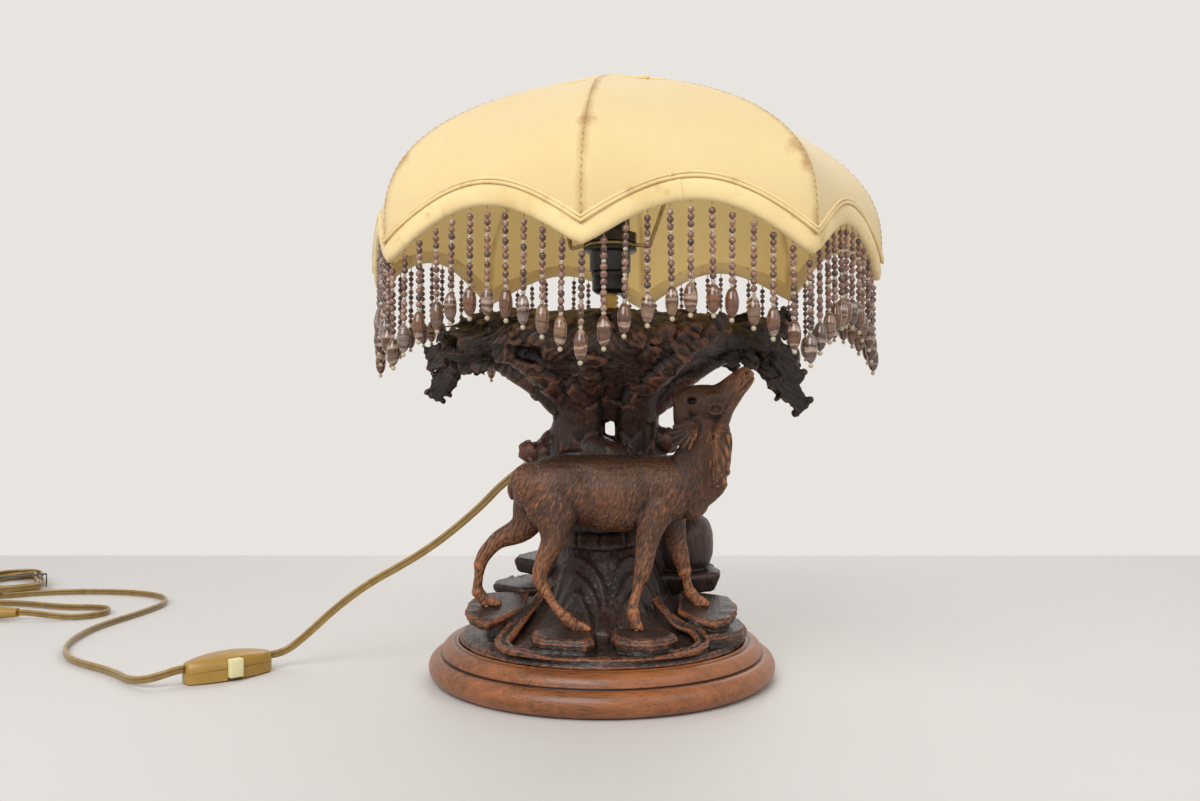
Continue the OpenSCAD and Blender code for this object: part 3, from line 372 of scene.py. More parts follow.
switch_h = 18
leaf_r = 65.77
leaf_wide = 13
slot_half = 5.3
slot_low, slot_high = 1.5, 16.5
slot_deep = 0.6
half = [(0.84, 0), (1, 0.05), (1, 0.13), (1, 0.47), (0.95, 0.485), (0.95, 0.515), (1, 0.53), (1, 0.68),
        (0.86, 0.88), (0.62, 0.985), (0.4, 1)]
section = half + [(-y, z) for y, z in reversed(half)]
stations = (slot_half, 10, 15, 20, 24, 28, 29.8, switch_half)
switch_lies = Matrix.Translation(switch_at) @ Matrix.Rotation(switch_turn, 4, "Z")
spots = []
for x in [-s for s in reversed(stations)] + list(stations):
    full = switch_h - x * x / 260
    narrow, low = (0.82, 0.9) if abs(x) > 30 else (0.97, 0.97) if abs(x) > 29 else (1, 1)
    wide = (math.sqrt(leaf_r ** 2 - x * x) - leaf_r + leaf_wide) * narrow
    tall = full * low
    spots.append(switch_lies @ Matrix((
        (0, 0, 1, x), (wide, 0, 0, 0), (0, tall, 0, (full - tall) / 2), (0, 0, 0, 1))))
bm = bmesh.new()
sweep(bm, spots, section)
back = switch_lies.inverted()
slot_faces = []
for f in bm.faces:
    x, y, z = back @ f.calc_center_median()
    if abs(x) < 3 and abs(y) > 10 and slot_low < z < slot_high:
        slot_faces.append(f)
bmesh.ops.delete(bm, geom=slot_faces, context="FACES")
rim = bmesh.ops.extrude_edge_only(bm, edges=[e for e in bm.edges if e.is_boundary])["geom"]
for v in rim:
    if isinstance(v, bmesh.types.BMVert):
        x, y, z = back @ v.co
        v.co = switch_lies @ Vector((x, y * slot_deep, z))
shell = piece("switch_shell", bm, gold_plastic, slot="gold_plastic",
              stands_for=["switch_upper_half", "switch_lower_half"])
shell.data.set_sharp_from_angle(angle=math.radians(32))

bar_at, bar_size = (0, -3.5, 9), (10, 26, 13)
bm = bmesh.new()
bmesh.ops.create_cube(
    bm, size=1, matrix=switch_lies @ Matrix.Translation(bar_at) @ Matrix.Diagonal((*bar_size, 1)))
bmesh.ops.bevel(bm, geom=bm.edges[:], offset=1.1, offset_type="OFFSET", segments=3, profile=0.5,
                affect="EDGES", material=-1)
push = piece("switch_push_bar", bm, ivory, slot="ivory_plastic", body="switch_bar", stands_for=["switch_bar"])
push.data.set_sharp_from_angle(angle=math.radians(40))


# Turned base: a disc of mid-brown hardwood with a half-round below, a quarter-round above it and dark
# scratched grooves between, screwed to the carving from below. Stained and waxed, with broad paler patches
# scattered at random as painted sheen.
def turned(bm, outline, x=0.0, steps=64):
    """Spins an outline of radius and height about an upright axis at x."""
    ring = [bm.verts.new((x + r, 0, z)) for r, z in outline]
    edges = [bm.edges.new(pair) for pair in zip(ring, ring[1:])]
    bmesh.ops.spin(bm, geom=ring + edges, cent=(x, 0, 0), axis=(0, 0, 1), angle=2 * math.pi, steps=steps,
                   use_merge=True)
    bmesh.ops.remove_doubles(bm, verts=bm.verts, dist=0.001)


def arc(r, z, radius, start, end, steps):
    """Points of an outline on a round about r and z, between two angles."""
    return [(r + radius * math.cos(math.radians(f)), z + radius * math.sin(math.radians(f)))
            for f in np.linspace(start, end, steps)]


base_wood, shader, at = finish("base_wood", Coat_Weight=0.12, Coat_Roughness=0.25)
grain = at.noise(24, 5, stretch=(1, 9, 9))
pores = at.noise(90, 4, stretch=(1, 14, 14))
tone = grain.over(0.3, 0.7).mix((0.135, 0.042, 0.0120), (0.31, 0.104, 0.031))
tone = pores.over(0.54, 0.66).mix(tone, (0.050, 0.021, 0.010))
# Broad paler patches at random: painted sheen on the waxed wood.
tone = (at.noise(9, 4).over(0.42, 0.7) * 0.6).mix(tone, (0.44, 0.160, 0.054))
at.mark("groove").mix(tone, (0.012, 0.006, 0.004)).feed(shader, "Base Color")
(grain * 0.25 + 0.27).feed(shader, "Roughness")
(grain + pores * 0.6).bump(shader, 0.0004, 0.25)

outline = [(0.5, 0), (112, 0)] + arc(116.3, 8.6, 8.5, -90, 84, 18)
outline += [(115.6, 16.4), (115.2, 17.3), (115.9, 17.8)] + arc(107, 17.6, 8.6, 6, 84, 10)
outline += [(106.6, 25.4), (106.2, 25.3), (105.6, 26.2), (104.4, 26.6), (103.4, 26.2), (102.8, 25.6)]
outline += [(0.5, 25.6)]
scratches = ((115.4, 17), (106.3, 25.4), (102.9, 25.8))
bm = bmesh.new()
groove = bm.verts.layers.float.new("groove")
turned(bm, outline, steps=160)
for v in bm.verts:
    r = math.hypot(v.co.x, v.co.y)
    away = min(abs(r - cut_r) + abs(v.co.z - cut_z) for cut_r, cut_z in scratches)
    v[groove] = 0.92 if away < 1.3 else 0.0
piece("base_disc", bm, base_wood, slot="base_wood", stands_for=["turned_base"])


# Rocky ground: one carved block of dark stained limewood on the disc, a mound with two flat stones in
# front, a tilted slab on either side and a root that loops round the front. Edges are rubbed to red.
lattice = np.array((73856093, 19349663, 83492791))


def grained(p, size):
    """Smooth noise from -1 to 1 at points in millimetres, with lumps of about this size."""
    p = p / size
    cell = np.floor(p).astype(np.int64)
    f = p - cell
    f = f * f * (3 - 2 * f)
    total = np.zeros(len(p))
    for corner in np.ndindex(2, 2, 2):
        h = (cell + corner) @ lattice
        h = (h ^ (h >> 13)) * 1274126177
        h = (h ^ (h >> 16)) & 65535
        total += (h / 32767.5 - 1) * np.prod(np.where(corner, f, 1 - f), axis=1)
    return total


def fade(value, none, full):
    """0 where the value has reached none, 1 where it has reached full, and a slope between them."""
    return np.clip((value - none) / (full - none), 0, 1)


def round_section(wide, high, sides):
    """An oval section ring."""
    return [(wide / 2 * math.cos(2 * math.pi * i / sides), high / 2 * math.sin(2 * math.pi * i / sides))
            for i in range(sides)]


def limb(bm, stations, sides, ease=3.0, ref=(0, 1, 0)):
    """A rounded limb through stations of x, y, z, half width along ref and half width across it."""
    thinnest = 0.2
    st = np.array(stations, float)
    run = smooth_run([tuple(s) for s in st], ease) if len(st) > 2 else list(st)
    spots = []
    for i, s in enumerate(run):
        z = Vector(run[min(i + 1, len(run) - 1)][:3] - run[max(i - 1, 0)][:3]).normalized()
        x = (Vector(ref) - z * z.dot(Vector(ref))).normalized()
        size = Matrix.Diagonal((max(s[3], thinnest), max(s[4], thinnest), 1, 1))
        spots.append(axes_at(s[:3], x, z.cross(x), z) @ size)
    sweep(bm, spots, round_section(2, 2, sides))


def stacked(bm, rings, sides=48):
    """Level rings of x, y, z, half width in y and half width in x, drawn up into one shape."""
    spots = [Matrix.Translation(q[:3]) @ Matrix.Diagonal((q[4], q[3], 1, 1)) for q in rings]
    sweep(bm, spots, round_section(2, 2, sides))


def flat_stone(bm, outline, top, thick, lean, chamfer, under):
    """A flat stone: an outline drawn up to its height, leaning, undercut, its upper edge chamfered."""
    ring = [bm.verts.new((x, y, top)) for x, y in outline]
    mid = sum((v.co for v in ring), Vector()) / len(ring)
    for v in ring:
        v.co.z += (v.co.x - mid.x) * lean[0] + (v.co.y - mid.y) * lean[1]
    face = bmesh.ops.contextual_create(bm, geom=ring)["faces"]
    grown = bmesh.ops.extrude_face_region(bm, geom=face)["geom"]
    lower = [v for v in grown if isinstance(v, bmesh.types.BMVert)]
    for v in lower:
        v.co = Vector((mid.x + (v.co.x - mid.x) * under, mid.y + (v.co.y - mid.y) * under, v.co.z - thick))
    stone = {f for v in ring + lower for f in v.link_faces}
    bmesh.ops.recalc_face_normals(bm, faces=list(stone))
    edges = [e for v in ring for e in v.link_edges if e.other_vert(v) in ring]
    bmesh.ops.bevel(bm, geom=list(set(edges)), offset=chamfer, offset_type="OFFSET", segments=1, profile=0.5,
                    affect="EDGES", material=-1)


def carved(name, bm, made, tool, slot, stands_for, voxel, ease=2):
    """One carving: rough shapes grown together and eased, then cut.

    The tool gives the depth of its cuts, the way the strokes run, and how warm the wood shows.
    """
    rough = piece(name + "_rough", bm)
    grow = rough.modifiers.new("grow", "REMESH")
    grow.mode = "VOXEL"
    grow.voxel_size = voxel / 1000
    soft = rough.modifiers.new("ease", "SMOOTH")
    soft.iterations = ease
    soft.factor = 0.5
    mesh = bpy.data.meshes.new_from_object(rough.evaluated_get(bpy.context.evaluated_depsgraph_get()))
    bpy.data.objects.remove(rough)
    mesh.name = name
    count = len(mesh.vertices)

    def normals():
        flat = np.empty(count * 3)
        mesh.vertex_normals.foreach_get("vector", flat)
        return flat.reshape(-1, 3)

    co = np.empty(count * 3)
    mesh.vertices.foreach_get("co", co)
    co = co.reshape(-1, 3) * 1000
    depth, flow, warm = tool(co)
    co += normals() * depth[:, None]
    mesh.vertices.foreach_set("co", (co / 1000).ravel())
    mesh.update()
    pairs = np.empty(len(mesh.edges) * 2, np.int32)
    mesh.edges.foreach_get("vertices", pairs)
    a, b = pairs.reshape(-1, 2).T
    share = np.bincount(a, minlength=count) + np.bincount(b, minlength=count)

    def spread(value):
        return (np.bincount(a, value[b], count) + np.bincount(b, value[a], count)) / share

    # Curvature of the carving: where it swells out it is rubbed wear, where it curves in it sets the painted shade
    # of the hollows.
    even, wear_and_hollow_shade, outward = co.copy(), np.zeros(count), normals()
    for turn in range(6):
        even = np.stack([spread(even[:, i]) for i in range(3)], axis=1)
        if turn in (1, 5):
            wear_and_hollow_shade += ((co - even) * outward).sum(axis=1)
    wear_and_hollow_shade = 0.5 * wear_and_hollow_shade + 0.5 * spread(wear_and_hollow_shade)
    wear_and_hollow_shade *= np.where(wear_and_hollow_shade > 0, np.clip(2 * warm, 0, 1), 1)
    for mark, kind, field, value in (
            ("wear_and_hollow_shade", "FLOAT", "value", np.clip(0.5 + wear_and_hollow_shade / voxel * 0.8, 0, 1)),
            ("warm", "FLOAT", "value", np.clip(warm, 0, 1) + np.zeros(count)),
            ("flow", "FLOAT_VECTOR", "vector", flow.ravel())):
        mesh.attributes.new(mark, kind, "POINT").data.foreach_set(field, value)
    mesh.shade_smooth()
    mesh.materials.append(made)
    place(name, mesh, slot, "stand", stands_for)


def stained(name, deep, mid, rubbed_and_highlit, wide, long, gloss=0.42, cut_depth=0.0005, show=0.5):
    """Stained and waxed carving: short tool strokes, painted shade in hollows and cuts, high places rubbed redder.
    """
    made, shader, at = finish(name, Coat_Weight=0.06, Coat_Roughness=0.3, Specular_IOR_Level=0.35)
    wear_and_hollow_shade = at.mark("wear_and_hollow_shade")
    flow = at.mark("flow", "Vector")
    run = flow.node("ShaderNodeMapping", {"Vector": flow, "Scale": (1 / wide, 1 / wide, 1 / long)})
    stroke = 1 - run.node("ShaderNodeTexVoronoi", {"Vector": run, "Scale": 1.0}, out="Distance")
    streak = run.node("ShaderNodeTexNoise", {"Vector": run, "Scale": 0.8, "Detail": 4.0})
    patch = at.noise(26, 4) * 0.65 + at.mark("warm") * 0.35
    tone = (patch * 0.7 + streak * 0.3).over(0.38, 0.6).mix(deep, mid)
    # High places are rubbed to the redder brown, and stroke tops take it too as a painted highlight.
    high = (wear_and_hollow_shade * 0.9 + stroke * show + patch * 0.6).over(0.86 + show * 0.5, 1.16 + show * 0.6)
    tone = high.mix(tone, rubbed_and_highlit)
    # Painted shade in the cuts between strokes.
    tone = (stroke.over(0.42, 0.2) * show).mix(tone, tuple(0.4 * c for c in deep))
    # Painted shade in the hollows, where the carving curves inwards.
    wear_and_hollow_shade.over(0.2, 0.42).mix(tuple(0.3 * c for c in deep), tone).feed(shader, "Base Color")
    (streak * 0.3 + (gloss - 0.15)).feed(shader, "Roughness")
    (stroke + streak * 0.6 + at.noise(700, 2) * 0.15).bump(shader, cut_depth, 0.6)
    return made


ground_wood = stained("ground_wood", (0.021, 0.0135, 0.0115), (0.052, 0.031, 0.024), (0.23, 0.080, 0.033),
                      wide=1.3, long=2.6)


def ground_tool(p):
    """Small chips on the floor of the mound and fine ridges round its rim."""
    x, y, z = p.T
    r, f = np.hypot(x, y), np.arctan2(x, -y)
    depth = grained(p, 15) * 0.45 + grained(p * (1, 1, 0.6), 3.4) * 0.35 * fade(z, 40, 37)
    depth += np.sin(z * 2.6) * 0.22 * fade(r, 88, 94)
    return depth, np.stack([r, z, f * 80], axis=1), 0.5


bm = bmesh.new()
stacked(bm, [(x, y, z, r, r) for r, z, x, y in (
    (103, 25.8, 0, 0), (102.8, 28, 0, 0), (100, 30.5, 0, 0), (93, 32, 0, 1), (84, 33.5, 0, 4), (75, 37, 1, 9),
    (66, 45, 2, 13), (59, 52, 3, 16), (54, 55.5, 4, 18), (46, 58, 4, 18), (30, 58.5, 4, 18), (1, 58.5, 4, 18))], 72)
for stone in (
        ([(-48, -68), (-46, -80), (-40, -87), (-24, -92), (-10, -94), (-4, -87), (-6, -62), (-30, -56)],
         43.6, 13, (0, 0.06), 3.2, 0.9),
        ([(6, -60), (5, -78), (9, -86), (19, -92), (32, -93), (43, -88), (51, -76), (42, -58)],
         43.6, 13, (0, 0.06), 3.2, 0.9),
        ([(-97, -38), (-93, -48), (-84, -57), (-78, -61), (-66, -50), (-52, -34), (-50, -4), (-88, -8), (-96, -22)],
         52.5, 6, (0.02, 0.24), 2.2, 0.8),
        ([(76, -60), (88, -52), (95, -40), (97, -28), (92, -12), (56, -4), (50, -40), (62, -54)],
         52.5, 8, (-0.02, 0.24), 2.6, 0.78),
        ([(72, -64), (86, -56), (97, -44), (102, -30), (99, -16), (70, -12), (62, -50)],
         41, 9, (-0.16, 0.14), 2, 0.95)):
    flat_stone(bm, *stone)
for side in (-1, 1):
    prop = [(side * x, y) for x, y in ((82, -16), (80, -30), (70, -40), (58, -38), (50, -28), (52, -8))]
    flat_stone(bm, prop, 47, 15, (-0.02 * side, 0.24), 1, 1.1)
for shift, thick in ((0, 2.6), (6, 2.2)):
    limb(bm, [(-38, -14, 64, thick, 4), (-49 + shift * 0.4, -26, 54, thick, 3.6),
              (-58 + shift * 0.6, -40, 46, thick, 3.4), (-66 + shift, -54, 39, thick, 3),
              (-69 + shift, -66, 35.5, thick, 2.8), (-63 + shift, -79, 33.6, thick, 2.6),
              (-48 + shift * 0.6, -90 + shift, 32.6, 2.2, 2.2), (-28, -97 + shift, 31.6, 1.8, 2),
              (0, -99.5 + shift, 31, 1.6, 1.8), (28, -97 + shift, 31.6, 1.8, 2),
              (48 - shift * 0.6, -90 + shift, 32.6, 2.2, 2.2), (64 - shift, -78, 34, thick, 2.4),
              (70 - shift, -66, 36, thick, 2.4), (67 - shift, -57, 40, thick, 2.6), (56 - shift, -50, 44, thick, 3),
              (45, -42, 50, thick, 3.4), (37, -30, 58, thick, 3.6)], 10, 3, (0, 0, 1))
carved("carved_ground", bm, ground_wood, ground_tool, "dark_wood", ["rocky_ground"], voxel=1.05)

# Tree trunk: carved in one block with the stump, the ledges of rock and the boulder beside it, doweled to
# the ground. Two stems grow out of the stump and meet again under the crown. Bark is cut in flat chips.
trunk_top = 213.8
bark_wood = stained("bark_wood", (0.021, 0.0110, 0.0090), (0.060, 0.027, 0.0195), (0.145, 0.058, 0.032),
                    wide=2.2, long=11, gloss=0.43, show=0.3)


def chipped(p, size):
    """Lift of a flat tilted facet and distance to its edge, for a surface broken into facets of this size."""
    p = p / size
    cell = np.floor(p).astype(np.int64)
    near = np.full((2, len(p)), 9.0)
    tilt = np.zeros(len(p))
    for step in np.ndindex(3, 3, 3):
        c = cell + step - 1
        seed = c @ lattice
        spot = np.stack([((seed * m ^ (seed >> 11)) & 1023) / 1023 for m in (7919, 104729, 15485863)], axis=1)
        gap = c + spot - p
        far = np.linalg.norm(gap, axis=1)
        closer = far < near[0]
        near[1] = np.where(closer, near[0], np.minimum(near[1], far))
        near[0] = np.where(closer, far, near[0])
        tilt = np.where(closer, (gap * (spot - 0.5)).sum(axis=1) * 2, tilt)
    return tilt, near[1] - near[0]


def bark_tool(p):
    """Flat chips of bark on the stems and the back, and courses of blocks on the front of the stump."""
    x, y, z = p.T
    tilt, edge = chipped(p * (1, 1, 0.5) + grained(p, 19)[:, None] * 5, 15)
    bark = tilt * 2.0 - np.clip(0.07 - edge, 0, 0.07) * 6
    bark *= np.maximum(fade(z, 150, 162), fade(y, 14, 24))
    wall = fade(z, 150, 140) * fade(z, 84, 90) * fade(y, 4, -8) * fade(np.abs(x - 4), 44, 38)
    tall, wide, joint = 11.5, 17, 1.3
    row = z / tall + grained(p, 30) * 0.18
    block = x / wide + 0.5 * (np.floor(row) % 2) + grained(p, 30) * 0.15
    line = np.minimum(np.abs(row - np.round(row)) * tall, np.abs(block - np.round(block)) * wide)
    depth = bark - np.clip(joint - line, 0, joint) * wall + grained(p, 7) * 0.3 + grained(p, 2.8) * 0.12
    flow = np.stack([x + grained(p, 14) * 3, y, z + grained(p, 30) * 8], axis=1)
    return depth, flow, 0.5 - 0.3 * fade(z, 92, 84)


branches = [
    [(-20, 2, 186, 8, 9), (-38, -4, 202, 9, 10), (-58, -10, 218, 10, 10), (-84, -14, 231, 10, 9),
     (-102, -8, 235, 8, 7)],
    [(-20, 0, 192, 7, 8), (-32, -16, 206, 9, 9), (-50, -36, 222, 9, 9), (-70, -46, 234, 7, 7)],
    [(-6, 4, 194, 7, 7), (-6, -16, 207, 8, 9), (-10, -40, 222, 9, 9), (-16, -54, 236, 7, 7)],
    [(26, 0, 194, 7, 8), (32, -16, 207, 9, 9), (46, -38, 222, 9, 9), (62, -46, 237, 7, 7)],
    [(28, 2, 188, 8, 8), (45, -4, 201, 9, 9), (63, -10, 216, 8, 7), (88, -14, 232, 9, 8), (108, -8, 240, 8, 7)],
    [(-20, 12, 190, 8, 8), (-36, 26, 206, 9, 9), (-58, 36, 223, 9, 9), (-84, 30, 234, 7, 7)],
    [(4, 14, 190, 8, 8), (6, 32, 206, 9, 9), (8, 46, 222, 9, 9), (8, 54, 236, 7, 7)],
    [(24, 10, 190, 8, 8), (42, 26, 206, 9, 9), (64, 34, 222, 9, 9), (90, 28, 236, 7, 7)]]
stump = [
    (4, 18, 57.5, 36, 58), (4, 17, 70, 34, 51), (6, 17, 90, 30, 45), (5, 16, 120, 28, 43), (2, 15, 142, 28, 49),
    (-2, 14, 153, 26, 53), (-2, 13, 162, 23, 48), (-1, 13, 169, 17, 38), (0, 13, 173, 8, 22)]
back_root = (
    (5, 17, 122, 38, 25, 3), (5, 18, 98, 43, 30, 6), (5, 19, 78, 48, 37, 8), (4, 18, 61, 55, 48, 8),
    (2, 13, 44, 67, 65, 6.5), (1, 8, 33, 84, 82, 2.5))
flare = [
    (4, 19, 98, 27, 42), (4, 20, 86, 30, 45), (4, 22, 74, 34, 50), (4, 24, 64, 39, 55), (4, 25, 54, 46, 59),
    (4, 25, 44, 50, 62)]
left_stem = [
    (-22, 12, 146, 20, 28), (-22, 11, 160, 19, 23), (-19, 10, 170, 19, 20.5), (-17, 8, 180, 19, 19.5),
    (-17, 5, 190, 20, 20), (-18, 2, 199, 23, 21.5), (-20, 0, 207, 27, 23), (-22, 0, trunk_top, 30, 25)]
right_stem = [
    (30, 12, 146, 18, 22), (29, 11, 160, 17, 18.5), (27, 10, 170, 17, 16.5), (26, 8, 180, 17, 16),
    (26, 5, 190, 19, 17), (27, 2, 199, 22, 18.5), (30, 0, 207, 26, 21), (33, 0, trunk_top, 29, 24)]
fork = [
    (4, 8, 183, 10, 26), (4, 6, 192, 14, 34), (4, 5, 199, 19, 40), (5, 4, 206, 25, 42), (5, 3, trunk_top, 31, 46)]
foot = [
    (3, 0, 100, 14, 28), (3, -1, 88, 18, 33), (3, -2, 76, 24, 38), (3, -3, 66, 30, 42), (3, -3, 58, 36, 45),
    (3, -3, 50, 42.5, 47), (3, -3, 44, 51, 48), (3, -3, 38, 61, 46)]
boulder = [
    (60, 16, 66, 4, 4), (60, 16, 70, 15, 16), (60, 16, 78, 21, 21), (60, 16, 88, 23, 23), (60, 16, 100, 22, 22),
    (59, 16, 108, 17, 17), (58, 16, 114, 9, 9), (58, 16, 116, 2, 2)]

bm = bmesh.new()
limb(bm, stump, 32, 5)
for f in np.radians((40, 72, 106, 138)):
    limb(bm, [(x + wide * math.cos(f), y + deep * math.sin(f), z, r, r) for x, y, z, wide, deep, r in back_root],
         14, 4)
for rings, sides in ((flare, 48), (left_stem, 28), (right_stem, 28), (fork, 48)):
    stacked(bm, rings, sides)
for branch in branches:
    limb(bm, branch, 14, 4)
for stub in (
        [(-30, 8, 160, 8, 8), (-44, 4, 159, 9, 9), (-55, 2, 160, 9, 8), (-61, 1, 161, 6, 5)],
        [(-30, 6, 153, 9, 8), (-42, 3, 153.5, 9, 8), (-49, 1, 153.5, 7.5, 7), (-52, 0, 153, 5, 5)],
        [(32, 11, 167, 9, 13), (44, 6, 168, 9, 11), (52, 3, 168.5, 8, 8.5), (57, 2, 169, 4, 4)]):
    limb(bm, stub, 14, 3)
stacked(bm, foot)
for middle, wide, low in ((-18, 19, 43), (22, 18, 45)):
    for ring in range(3):
        reach = wide - 5.2 * ring
        arch = []
        for f in np.radians(range(190, -21, -15)):
            x = middle + reach * math.cos(f) + 2 * math.sin(3 * f + ring)
            z = low + 2.2 * reach * math.sin(f)
            mid, deep, half = (np.interp(-z, [-q[2] for q in foot], [q[i] for q in foot]) for i in (1, 3, 4))
            arch.append((x, mid - deep * math.sqrt(max(0, 1 - ((x - 3) / half) ** 2)) + 0.4, z, 2.2, 2))
        limb(bm, arch, 8, 4)
for ledge in (
        ([(40, -6), (62, -14), (87, -8), (89, 6), (84, 30), (50, 42)], 73, 14.5, (0.05, 0.05), 3, 0.7),
        ([(-30, -6), (-58, -12), (-81, 0), (-80, 12), (-66, 30), (-30, 40)], 64, 6.2, (-0.02, 0.1), 2, 0.9),
        ([(-25, -4), (-50, -8), (-66, 2), (-64, 14), (-50, 32), (-20, 36)], 83, 11, (-0.03, 0.1), 3, 0.8)):
    flat_stone(bm, *ledge)
limb(bm, boulder, 24, 3)
for v in bm.verts:
    v.co.z = min(v.co.z, trunk_top)
carved("carved_trunk", bm, bark_wood, bark_tool, "dark_wood", ["tree_trunk"], voxel=1.3)

# Tree crown and leaf sprays: a mass of overlapping oak leaves gouged round the branches, with a spray on
# each end pegged to the block. Stained almost black, with a flat seat for the pipe's washer on top.
crown_x = 4
crown_low, crown_high = 208, 264
pipe_x = 6
leaf_wood = stained("leaf_wood", (0.0160, 0.0093, 0.0073), (0.052, 0.027, 0.0185), (0.130, 0.056, 0.030),
                    wide=1.5, long=10, gloss=0.38, cut_depth=0.0009, show=0.4)


def oak_leaf(bm, root, tip, up, wide, curl, thick):
    """A lobed leaf with a bent midrib, as a closed shape from its root to its blunt tip."""
    root, tip, up = Vector(root), Vector(tip), Vector(up).normalized()
    way = tip - root
    stations = []
    for f, w in ((0, 0.4), (0.14, 0.66), (0.26, 0.9), (0.34, 0.72), (0.48, 1.0), (0.57, 0.8), (0.7, 0.98),
                 (0.8, 0.76), (0.92, 0.74), (1, 0.3)):
        lift = up * way.length * curl * math.sin(math.pi * f)
        stations.append((*(root + way * f + lift), w * wide / 2, thick * (1 - 0.45 * f)))
    limb(bm, stations, 8, 40, way.cross(up).normalized())


def leaf_tool(p):
    """Tilted leaf faces with gouged veins, and a deep hollow at the left of the crown."""
    x, y, z = p.T
    out = np.abs(x - crown_x)
    across = 0.75 * z + 0.66 * out + grained(p, 15) * 5
    tilt = chipped(p, 12)[0]
    gouge = np.sin(across * 1.15) * 0.3 * np.clip(0.6 + grained(p, 20), 0, 1)
    hollow = 4.5 * np.exp(-((x + 51) / 9) ** 4 - ((z - 228) / 5) ** 4) * fade(y, -24, -32)
    depth = tilt * 0.9 + gouge * 1.5 + grained(p, 4.5) * 0.35 + grained(p, 24) * 1.6 - hollow
    flow = np.stack([across, y, 0.66 * z - 0.75 * out], axis=1)
    return depth, flow, 0.5 - 0.3 * fade(out, 70, 95)


crown = [
    (-104, 0, 233, 20, 11), (-96, 0, 235, 34, 14), (-74, 0, 241, 48, 18), (-56, 0, 241, 54, 21),
    (-34, 0, 239, 58, 24), (0, 0, 238, 60, 25), (36, 0, 238, 58, 24), (58, 0, 241, 53, 20),
    (78, 0, 242.5, 48, 17), (98, 0, 242, 36, 14), (112, 0, 240, 20, 12)]
bm = bmesh.new()
limb(bm, crown, 40, 8)
stacked(bm, [(crown_x, 0, z, deep, wide) for z, deep, wide in (
    (crown_low, 30, 46), (212, 35, 51), (217, 42, 60), (221, 48, 70), (226, 51, 80), (232, 50, 84))])
limb(bm, [(-56, -24, 235, 9, 9), (-67, -42, 231, 8, 8), (-71, -49, 229.5, 7.6, 7.6)], 16, 3)
for branch in branches:
    limb(bm, branch, 14, 4)
for start, tip, wide in (
        ((-86, -16, 232), (-99, -21, 218), 17), ((-76, -24, 229), (-90, -28, 219), 15),
        ((-93, -6, 230), (-103, -9, 217), 15), ((97, -14, 234), (110, -18, 220), 16),
        ((86, -20, 232), (97, -25, 222), 14), ((88, 20, 232), (104, 24, 221), 16),
        ((-82, 18, 230), (-98, 22, 218), 16)):
    oak_leaf(bm, start, tip, (0, tip[1], 10), wide, 0.1, 2.6)
chance = random.Random(21)
xs = [c[0] for c in crown]
for i in range(150):
    x = chance.uniform(-98, 106)
    f = chance.uniform(0, 2 * math.pi)
    mid, deep, half = (np.interp(x, xs, [c[j] for c in crown]) for j in (2, 3, 4))
    spot = Vector((x, deep * math.cos(f) * 0.93, mid + half * math.sin(f) * 0.9))
    on_seat = math.hypot(spot.x - pipe_x, spot.y) < 24 and f < math.pi
    if on_seat or math.sin(f) < -0.55 and abs(x) > 34:
        continue
    out = Vector((0, math.cos(f) / deep, math.sin(f) / half)).normalized()
    away = Vector((spot.x - pipe_x, spot.y * 1.4, 0)).normalized() * chance.uniform(0.5, 1)
    stray = Vector((chance.uniform(-0.4, 0.4), chance.uniform(-0.4, 0.4), chance.uniform(-0.3, 0.15)))
    way = (away + stray).normalized()
    way = (way - out * way.dot(out)).normalized() + out * chance.uniform(0.0, 0.22)
    long = chance.uniform(22, 36)
    oak_leaf(bm, spot - way * 7, spot + way * long * 0.75, out, long * chance.uniform(0.36, 0.5), 0.07, 2.2)
for v in bm.verts:
    v.co.z = min(max(v.co.z, crown_low), crown_high)
carved("carved_crown", bm, leaf_wood, leaf_tool, "leaf_wood", ["tree_crown"], voxel=1.3)

